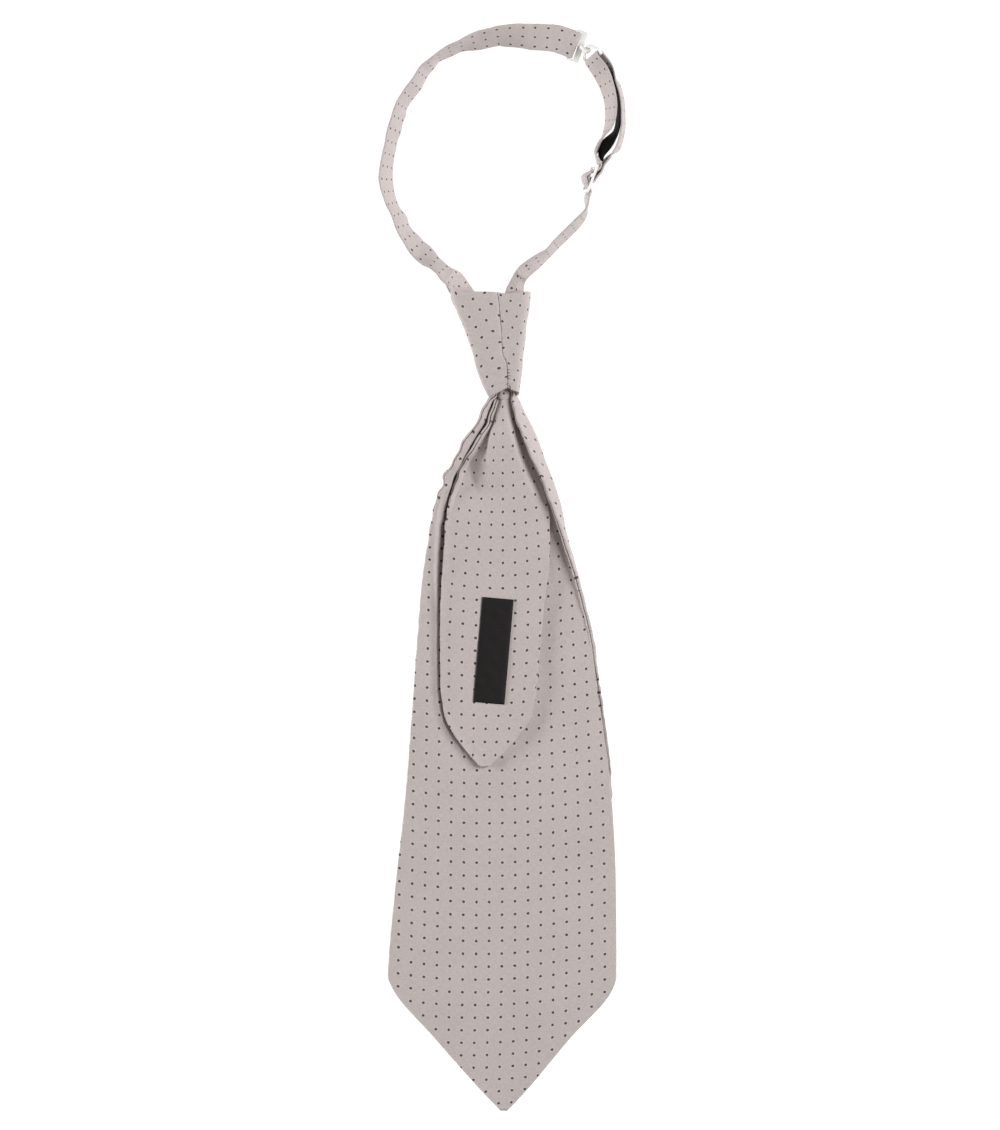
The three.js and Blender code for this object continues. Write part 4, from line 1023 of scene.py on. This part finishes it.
def rim_shade_thread_path():
    """A ragged dark thread along the knot's lower right rim, partly painted shade in the gap under the rim.
    """
    share = np.linspace(0, 1, 60)
    across = 1.2 + 6.6 * share
    ragged = 0.45 * np.sin(17 * share) * np.sin(41 * share + 1)
    up = along(LOW_RIM["x"], LOW_RIM["rise"], across) - 0.3 + ragged
    over = knot_surface(across, np.maximum(up, 0)) - 0.5 + 0.3 * np.sin(29 * share)
    return np.stack([across, up, over], axis=1)


def label_sides():
    """The label's upper and lower side on the tail, and the places of both on the satin."""
    width, length = LABEL_SIZE
    u, v = np.meshgrid(np.linspace(-0.5, 0.5, 31) * width, np.linspace(-0.5, 0.5, 81) * length)
    x = LABEL_OFFSET + u * math.cos(LABEL_TURN) + v * math.sin(LABEL_TURN)
    drop = LABEL_DROP + v * math.cos(LABEL_TURN) - u * math.sin(LABEL_TURN)
    controls, _ = tail_controls(drop.ravel())
    heights = [np.interp(a, c[:, 0], c[:, 1]) for a, c in zip(x.ravel(), smooth_curves(controls, 16))]
    base = np.array(heights).reshape(x.shape) + OVER + CLEARANCE
    edge = np.minimum(width / 2 - np.abs(u), length / 2 - np.abs(v))
    rim = np.sqrt(1 - (1 - np.clip(edge / 0.4, 0, 1)) ** 2)
    puff = 0.12 * smooth_step(edge, 0.6, 2.5) + 0.05 * drift(u, v, 9, 5)
    upper = np.stack([x, -drop, base + LABEL_THICKNESS * (0.5 + 0.5 * rim) + puff * rim], axis=-1)
    lower = np.stack([x, -drop, base + LABEL_THICKNESS * (0.5 - 0.5 * rim)], axis=-1)
    return upper, lower, np.stack([u, v], axis=-1)


def make_sheet(name, upper, lower, place, material):
    """A closed sheet from its two sides, which share their places in the cloth."""
    points, faces, uv = two_sided(upper, lower, place, place)
    return recalculated(mesh_object(name, points, faces, uv, material))


def make_threads(name, paths, radius, material):
    """Short sewing threads, each a thin tube along its own points."""
    points, faces, uvs = [], [], []
    start = 0
    angle = np.linspace(0, 2 * math.pi, 9)[:-1]
    for path in paths:
        heading = unit(np.gradient(path, axis=0))
        side = unit(np.cross(heading, (0.0, 0.0, 1.0)))
        up = np.cross(side, heading)
        taper = radius * np.sqrt(np.clip(np.sin(np.linspace(0.12, math.pi - 0.12, len(path))), 0, 1))
        ring = side[:, None] * np.cos(angle)[None, :, None] + up[:, None] * np.sin(angle)[None, :, None]
        rings = path[:, None] + ring * taper[:, None, None]
        length = lengths_of(path)
        uv = np.stack(np.broadcast_arrays(angle[None, :] * radius, length[:, None]), axis=-1)
        made, sides, flat = tube(rings, uv)
        points.append(made)
        uvs.append(flat)
        faces.extend([tuple(int(k) + start for k in face) for face in sides])
        start += len(made)
    return recalculated(mesh_object(name, np.concatenate(points), faces, np.concatenate(uvs), material))


def stations_on(rows, steps, side, reserve):
    plan_controls = np.stack(
        [
            LOOP_LEAN + rows["across"] * LOOP_WIDTH / 2,
            KNOT_HEIGHT + rows["up"] * LOOP_HEIGHT,
            np.zeros(len(rows["up"])),
        ],
        axis=1,
    )
    fine = smooth_curves(plan_controls[None], 60)[0]
    places = np.linspace(0, 1, len(fine))
    lengths = lengths_of(fine)
    distance = np.linspace(0, lengths[-1], steps + 1)
    point = at_lengths(fine, distance, lengths)
    place = np.interp(distance, lengths, places)
    travel = unit(np.gradient(fine, axis=0))
    travel = unit(at_lengths(travel, distance, lengths))
    keyed = {**rows, "place": np.linspace(0, 1, len(rows["up"]))}
    row = columns_at(keyed, "place", place)
    tilt = np.radians(row["tilt"])
    width = np.stack(
        [side * travel[:, 1] * np.cos(tilt), -side * travel[:, 0] * np.cos(tilt), np.sin(tilt)], axis=1
    )
    normal = unit(np.cross(width, travel))
    to_end = lengths[-1] - distance
    below, beside = reserve(row, to_end)
    low_edge = point - width * BAND_WIDTH / 2
    point[:, 2] = (
        knot_floor(low_edge[:, 0], low_edge[:, 1])
        + (BAND_WIDTH / 2 + beside) * np.sin(tilt)
        + (BAND_THICKNESS / 2 + below) * np.abs(np.cos(tilt))
    )
    return {
        **row,
        "point": point,
        "travel": travel,
        "width": width,
        "normal": normal,
        "along": distance,
        "to_end": to_end,
    }


def picked(stations, keep):
    return {name: values[keep] for name, values in stations.items()}


def moved(stations, distance):
    shift = np.broadcast_to(np.asarray(distance, float), stations["along"].shape)
    return {**stations, "point": stations["point"] + stations["normal"] * shift[:, None]}


def leaning(stations, degrees):
    angle = -np.radians(np.broadcast_to(degrees, stations["along"].shape))[:, None]
    axis = stations["travel"]

    def turn(v):
        dot = (axis * v).sum(axis=1, keepdims=True)
        return v * np.cos(angle) + np.cross(axis, v) * np.sin(angle) + axis * dot * (1 - np.cos(angle))

    return {**stations, "width": turn(stations["width"]), "normal": turn(stations["normal"])}


def chained(*parts):
    return {
        name: np.concatenate([part[name] for part in parts]) for name in ("point", "width", "along")
    }


def half_turn(station, start_side, onwards, steps, length):
    angle = np.linspace(0, math.pi, steps + 1)[:, None]
    point = (
        station["point"]
        + station["normal"] * start_side * TURN_RADIUS * np.cos(angle)
        + station["travel"] * onwards * TURN_RADIUS * np.sin(angle)
    )
    return {
        "point": point,
        "width": np.repeat(station["width"], steps + 1, axis=0),
        "along": np.full(steps + 1, length),
    }


def strap_rings(path, width, thickness, wave=None):
    """Rings of points round a strap, flat with rounded edges, and the cloth lengths across and along it."""
    point, across = path["point"], path["width"]
    keep = np.concatenate(([True], np.linalg.norm(np.diff(point, axis=0), axis=1) > 0.05))
    point, across = point[keep], across[keep]
    heading = np.gradient(point, axis=0)
    normal = unit(np.cross(across, heading))
    length = lengths_of(point)
    half = np.array([0.12, 0.24, 0.36, 0.43, 0.47, 0.492, 0.5])
    side = np.concatenate([-half[::-1], [0.0], half])
    edge = np.clip((0.5 - np.abs(side)) * width / (0.6 * thickness), 0, 1)
    thick = 0.5 * thickness * np.sqrt(1 - (1 - edge) ** 2)
    around = np.concatenate([side, side[-2:0:-1]])
    lift = np.concatenate([thick, -thick[-2:0:-1]])
    count = len(point)
    u = np.repeat(around[None, :] * width, count, axis=0)
    v = np.repeat(length[:, None], len(around), axis=1)
    height = np.repeat(lift[None, :], count, axis=0)
    sway = np.zeros_like(u) if wave is None else wave(u, v)
    rings = point[:, None] + across[:, None] * u[..., None] + normal[:, None] * (height + sway)[..., None]
    return rings, np.stack([u, v], axis=-1), length[-1]


def make_strap(name, path, width, thickness, material, wave=None, dots=(1.0, 0.0, 1.0)):
    rings, uv, length = strap_rings(path, width, thickness, wave)
    across, shift, down = dots
    uv = np.stack([across * (uv[..., 0] + shift), down * uv[..., 1]], axis=-1)
    points, faces, flat_uv = tube(rings, uv)
    piece = recalculated(mesh_object(name, points, faces, flat_uv, material))
    return piece, length


def long_path():
    def reserve(row, to_end):
        near = 1 - smooth_step(to_end, FOLD_BACK, 3 * FOLD_BACK)
        return near * TURN_RADIUS, near * (FITTING_HALF_WIDTH - BAND_WIDTH / 2)

    stations = stations_on(LONG_BAND, 420, -1, reserve)
    spread = 1 - smooth_step(stations["to_end"], 0.2 * FOLD_BACK, 0.9 * FOLD_BACK)
    upper = picked(moved(stations, -TURN_RADIUS * spread), slice(None, -1))
    own = TURN_RADIUS * spread + (BAND_THICKNESS + CLEARANCE) * (1 - spread)
    flap = moved(stations, own)
    keep = np.flatnonzero((stations["to_end"] < FOLD_BACK) & (stations["to_end"] > 0))[::-1]
    bar = picked(stations, slice(-1, None))
    return chained(upper, half_turn(bar, -1, 1, 14, stations["along"][-1]), picked(flap, keep))


def short_stations():
    def reserve(row, to_end):
        doubled = np.minimum(row["inner"], 1)
        return row["outer"] * BAND_THICKNESS, doubled * (FITTING_HALF_WIDTH - BAND_WIDTH / 2)

    stations = stations_on(SHORT_BAND, 432, 1, reserve)
    held = int(np.argmin(np.abs(stations["to_end"] - SLIDER_TO_END)))
    here = picked(stations, slice(held, held + 1))
    reach = stations["along"] - here["along"]
    free = smooth_step(np.abs(reach), 1.3 * SLIDER_REACH, 2.6 * SLIDER_REACH)[:, None]
    straight = {**stations, "reach": reach}
    straight["point"] = mix(here["point"] + here["travel"] * reach[:, None], stations["point"], free)
    for name in ("width", "normal", "travel"):
        straight[name] = unit(mix(here[name], stations[name], free))
    return straight, moved(here, SLIDER_LEVEL)


def inner_stretch(stations):
    """1 along the open part of the doubled stretch, 0 by the slider and by the eye."""
    from_slider = smooth_step(stations["reach"], 1.6 * SLIDER_REACH, 3 * SLIDER_REACH)
    return from_slider * smooth_step(stations["to_end"], 0.8 * SLIDER_REACH, 2.4 * SLIDER_REACH)


def near_eye(stations, offset):
    near = 1 - smooth_step(stations["to_end"], 0.5 * SLIDER_REACH, 2 * SLIDER_REACH)
    return offset + (TURN_RADIUS - offset) * near


def outwards(stations, distance, up):
    """The same strap moved level, away from the middle of the loop, and up."""
    out = unit(stations["width"] * (1.0, 1.0, 0.0))
    out = out * np.where(np.cos(np.radians(stations["tilt"])) < 0, -1, 1)[:, None]
    shift = out * distance[:, None]
    shift[:, 2] += up
    return {**stations, "point": stations["point"] + shift}


def doubled_layers():
    """The strap's run through the slider to the eye, and its run back, at the same stations."""
    stations, slider = short_stations()
    reach = stations["reach"]
    near_bar = SLIDER_LEVEL - TURN_RADIUS
    over_wrap = SLIDER_LEVEL + TURN_RADIUS + BAND_THICKNESS + 1.5 * CLEARANCE
    weave = over_wrap + (near_bar - over_wrap) * (0.5 - 0.5 * np.cos(math.pi * reach / SLIDER_REACH))
    away = smooth_step(np.abs(reach), 1.15 * SLIDER_REACH, 2 * SLIDER_REACH)
    stretch = inner_stretch(stations)
    open_inner = near_eye(stations, stations["inner"] * BAND_THICKNESS)
    offset = np.where(np.abs(reach) < SLIDER_REACH, weave, near_bar + (open_inner - near_bar) * away)
    inner = leaning(moved(stations, offset + 0.7 * stretch), (stations["lean"] + 8 * stretch) * away)
    open_outer = near_eye(stations, stations["outer"] * BAND_THICKNESS)
    out = smooth_step(reach, 1.15 * SLIDER_REACH, 2 * SLIDER_REACH)
    leave = smooth_step(reach, 0, 0.85 * SLIDER_REACH)
    held = -near_bar + leave * (BAND_THICKNESS + 1.3 * CLEARANCE)
    outer = outwards(moved(stations, -(held + (open_outer - held) * out)), 3.0 * stretch, 0.9 * stretch)
    outer = leaning(outer, stretch * (OUTER_TILT - stations["tilt"]))
    return stations, slider, inner, outer


def short_path():
    stations, slider, inner, outer = doubled_layers()
    keep = np.flatnonzero((stations["reach"] > CLEARANCE) & (stations["to_end"] > 0))[::-1]
    eye_bar = picked(stations, slice(-1, None))
    total = stations["along"][-1]
    tip = moved({**slider, "point": slider["point"] + slider["travel"]}, TURN_RADIUS)
    return chained(
        picked(inner, slice(None, -1)),
        half_turn(eye_bar, 1, 1, 14, total),
        picked(outer, keep),
        half_turn(slider, -1, -1, 14, total),
        tip,
    )


def tape_path():
    """The tape stands between the two layers, turned so that it fills the gap seen from above."""
    stations, _, inner, outer = doubled_layers()
    stretch = inner_stretch(stations)
    between = (0.5 + stretch * (0.12 - 0.024 * stations["lean"]))[:, None]
    tape = {**stations, "point": mix(inner["point"], outer["point"], between)}
    tape = leaning(tape, stretch * (TAPE_TILT - 2.2 * stations["lean"] - stations["tilt"]))
    keep = (stations["reach"] > 1.5 * SLIDER_REACH) & (stations["to_end"] > 1.2 * SLIDER_REACH)
    return chained(picked(tape, keep))


# Sizes and looks


def length_setting(name, description, millimetres):
    return bpy.props.FloatProperty(
        name=name, description=description, default=millimetres * TO_METRES, unit="LENGTH"
    )


def colour_setting(name, description, hex_colour):
    return bpy.props.FloatVectorProperty(
        name=name, description=description, default=linear(hex_colour), subtype="COLOR"
    )


def power_setting(name, description, watts):
    return bpy.props.FloatProperty(name=name, description=description, default=watts, unit="POWER")


class AscotSilk(bpy.types.PropertyGroup):
    dot_across: length_setting("Dots across", "Spacing of the dots across the cloth", DOT_CELL[0])
    dot_down: length_setting("Dots along", "Spacing of the dots along the cloth", DOT_CELL[1])
    dot_size: length_setting("Dot", "Width of one woven dot", 1.6)
    thread: length_setting("Thread", "Width of the drawn threads", 0.6)
    roughness: bpy.props.FloatProperty(
        name="Roughness", description="How matt the silk is", default=0.6, subtype="FACTOR"
    )
    cloth: colour_setting("Cloth", "Silk in the light", "#c6b9b7")
    cloth_shade: colour_setting("Cloth, darker", "Silk where it is a little darker", "#bcb4b1")
    dot: colour_setting("Dot colour", "Woven dots", "#4a413f")
    halo: colour_setting("Dot edge", "Paler cloth round each dot", "#d6d0ce")


class AscotTrim(bpy.types.PropertyGroup):
    satin: colour_setting("Label", "Black satin of the label", "#0f0d0d")
    satin_light: colour_setting("Label, lit threads", "Threads that catch the light", "#1f1c1b")
    tape: colour_setting("Tape", "Black woven tape", "#0d0b0b")
    tape_light: colour_setting("Tape, lit threads", "Threads that catch the light", "#262221")
    # The sewing thread's dark colour is painted shade: pale thread drawn as dark as it looks in the shade at
    # the seam and the knot's rim.
    thread_in_shade: colour_setting("Thread", "Sewing thread", "#3b3330")
    thread_light: colour_setting("Thread, lit", "Sewing thread in the light", "#7d726e")
    plastic: colour_setting("Plastic", "White plastic", "#faf9f6")
    plastic_shade: colour_setting("Plastic, darker", "White plastic in its depth", "#f2f0ec")


class AscotStudio(bpy.types.PropertyGroup):
    floor: colour_setting("Table", "Pale table top", "#f8f8f8")
    glow: bpy.props.FloatProperty(
        name="Table glow", description="How strongly the table is lit from below", default=1.05
    )
    right: power_setting("Right lamp", "Power of the large lamp on the right", 42.5)
    left: power_setting("Left lamp", "Power of the large lamp on the left", 31.0)
    fill: bpy.props.FloatProperty(
        name="Fill light", description="Strength of the light from all round", default=0.22
    )


# Operators


class ASCOT_OT_blade(bpy.types.Operator):
    """Make the wide blade, outer cloth and lining sewn together at the hem"""

    bl_idname = "ascot.blade"
    bl_label = "Wide blade"

    def execute(self, context):
        silk = dotted_silk(context.scene.ascot_silk)
        piece = make_panel(
            "blade", blade_controls, BLADE_LENGTH, 110, BLADE_WEAR, BLADE_DOTS, blade_relief, silk, 11
        )
        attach(piece, "root")
        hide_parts("blade_face", "blade_lining")
        return {"FINISHED"}


class ASCOT_OT_tail(bpy.types.Operator):
    """Make the narrow tail that lies on the blade"""

    bl_idname = "ascot.tail"
    bl_label = "Narrow tail"

    def execute(self, context):
        silk = dotted_silk(context.scene.ascot_silk)
        piece = make_panel(
            "tail", tail_controls, TAIL_LENGTH, 110, TAIL_WEAR, TAIL_DOTS, tail_relief, silk, 23
        )
        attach(piece, "root")
        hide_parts("tail_face", "tail_lining")
        return {"FINISHED"}


class ASCOT_OT_label(bpy.types.Operator):
    """Make the bare satin label on the tail"""

    bl_idname = "ascot.label"
    bl_label = "Label"

    def execute(self, context):
        look = context.scene.ascot_trim
        material = plain_weave("black_woven_satin", look.satin, look.satin_light, 0.0005, 0.55, 0.3)
        piece = make_sheet("label_satin", *label_sides(), material)
        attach(piece, "root")
        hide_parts("label")
        return {"FINISHED"}


class ASCOT_OT_knot(bpy.types.Operator):
    """Make the knot, one strip wrapped round with its seam at the back"""

    bl_idname = "ascot.knot"
    bl_label = "Knot"

    def execute(self, context):
        piece = make_sheet("knot", *knot_sides(), dotted_silk(context.scene.ascot_silk))
        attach(piece, "root")
        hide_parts("knot_wrap")
        look = context.scene.ascot_trim
        # The thread's darker colour is painted shade on pale thread; the lit threads carry the light.
        thread = plain_weave("twisted_sewing_thread", look.thread_in_shade, look.thread_light, 0.0002, 0.7, 0.8)
        stitches = make_threads("seam_stitches", stitch_paths(), 0.22, thread)
        # A dark thread at the knot's lower right rim, partly painted shade for the gap under the lifted rim.
        rim_shade_thread = make_threads("rim_thread_and_painted_shade", [rim_shade_thread_path()], 0.36, thread)
        for made in (stitches, rim_shade_thread):
            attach(made, "root")
        return {"FINISHED"}


class ASCOT_OT_neckband(bpy.types.Operator):
    """Make the two halves of the neckband and the black tape between the doubled layers"""

    bl_idname = "ascot.neckband"
    bl_label = "Neckband"

    def execute(self, context):
        look = context.scene.ascot_trim
        silk = dotted_silk(context.scene.ascot_silk)
        dots = (DOT_CELL[0] / 5.3, 0.0, DOT_CELL[1] / 6.9)

        def buckled(u, v):
            return 0.12 * drift(u, v, 17, 47) * (1 - (2 * np.abs(u) / BAND_WIDTH) ** 2)

        def pinched(u, v):
            fold = 2.2 * (np.abs(np.cos(2 * math.pi * u / BAND_WIDTH)) - 0.6) * (1 - smooth_step(v, 18, 40))
            return buckled(u, v) + fold

        for name, node, path, wave in (
            ("band_hook_side", "neckband_long", long_path(), buckled),
            ("band_eye_side", "neckband_short", short_path(), pinched),
        ):
            piece, length = make_strap(name, path, BAND_WIDTH, BAND_THICKNESS, silk, wave, dots)
            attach(piece, "root")
            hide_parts(node)
        weave = plain_weave("black_woven_tape", look.tape, look.tape_light, 0.0006, 0.8, 0.5)
        piece, length = make_strap("tape_woven", tape_path(), TAPE_WIDTH, TAPE_THICKNESS, weave)
        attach(piece, "root")
        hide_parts("adjuster_tape")
        return {"FINISHED"}


class ASCOT_OT_fittings(bpy.types.Operator):
    """Finish the slider, the eye and the hook as moulded white plastic"""

    bl_idname = "ascot.fittings"
    bl_label = "Slider, eye and hook"

    def execute(self, context):
        material = moulded_plastic(context.scene.ascot_trim)
        for node in ("slider", "eye_clip", "hook_clip"):
            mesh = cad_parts[node].data
            mesh.materials.clear()
            mesh.materials.append(material)
        return {"FINISHED"}


class ASCOT_OT_studio(bpy.types.Operator):
    """Set up the pale floor, the soft light and the camera straight above"""

    bl_idname = "ascot.studio"
    bl_label = "Floor, light and camera"

    def execute(self, context):
        look = context.scene.ascot_studio
        half = 3.0
        mesh = bpy.data.meshes.new("floor")
        corners = [(-half, -half, 0), (half, -half, 0), (half, half, 0), (-half, half, 0)]
        mesh.from_pydata(corners, [], [(0, 1, 2, 3)])
        mesh.materials.append(opal_acrylic(look))
        floor = bpy.data.objects.new("floor", mesh)
        context.scene.collection.objects.link(floor)
        world = bpy.data.worlds.new("soft_studio")
        world.use_nodes = True
        background = world.node_tree.nodes["Background"]
        background.inputs["Color"].default_value = (1, 1, 1, 1)
        background.inputs["Strength"].default_value = look.fill
        context.scene.world = world
        for name, power, place, width, height in (
            ("right_softbox", look.right, (1.5, 0.35, 1.5), 1.4, 1.1),
            ("left_softbox", look.left, (-2.0, 0.1, 0.53), 1.0, 0.5),
        ):
            lamp = bpy.data.lights.new(name, "AREA")
            lamp.shape = "RECTANGLE"
            lamp.size = width
            lamp.size_y = height
            lamp.energy = power
            softbox = bpy.data.objects.new(name, lamp)
            softbox.location = place
            softbox.rotation_mode = "QUATERNION"
            softbox.rotation_quaternion = (-Vector(place)).to_track_quat("-Z", "Y")
            context.scene.collection.objects.link(softbox)
        context.scene.view_settings.view_transform = "Standard"
        camera = bpy.data.cameras.new("camera")
        above = 3.0
        seen = PHOTO_HEIGHT * PIXEL * TO_METRES
        camera.sensor_width = 36.0
        camera.lens = camera.sensor_width * above / seen
        camera.clip_end = 20.0
        eye = bpy.data.objects.new("camera", camera)
        eye.location = (-0.00121, 0.0014, above + 0.008)
        context.scene.collection.objects.link(eye)
        context.scene.camera = eye
        return {"FINISHED"}


STEPS = (
    ASCOT_OT_studio,
    ASCOT_OT_blade,
    ASCOT_OT_tail,
    ASCOT_OT_label,
    ASCOT_OT_knot,
    ASCOT_OT_neckband,
    ASCOT_OT_fittings,
)


class VIEW3D_PT_ascot(bpy.types.Panel):
    """The ascot's pieces and looks"""

    bl_label = "Ascot"
    bl_idname = "VIEW3D_PT_ascot"
    bl_space_type = "VIEW_3D"
    bl_region_type = "UI"
    bl_category = "Ascot"

    def draw(self, context):
        for step in STEPS:
            self.layout.operator(step.bl_idname)
        for group in ("ascot_silk", "ascot_trim", "ascot_studio"):
            settings = getattr(context.scene, group)
            box = self.layout.box()
            for name in settings.__annotations__:
                box.prop(settings, name)


CLASSES = (AscotSilk, AscotTrim, AscotStudio, *STEPS, VIEW3D_PT_ascot)


def register():
    for made in CLASSES:
        bpy.utils.register_class(made)
    bpy.types.Scene.ascot_silk = bpy.props.PointerProperty(type=AscotSilk)
    bpy.types.Scene.ascot_trim = bpy.props.PointerProperty(type=AscotTrim)
    bpy.types.Scene.ascot_studio = bpy.props.PointerProperty(type=AscotStudio)


def unregister():
    del bpy.types.Scene.ascot_studio
    del bpy.types.Scene.ascot_trim
    del bpy.types.Scene.ascot_silk
    for made in reversed(CLASSES):
        bpy.utils.unregister_class(made)


def main():
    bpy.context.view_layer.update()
    register()
    for step in STEPS:
        area, action = step.bl_idname.split(".")
        getattr(getattr(bpy.ops, area), action)()


if __name__ == "__main__":
    main()
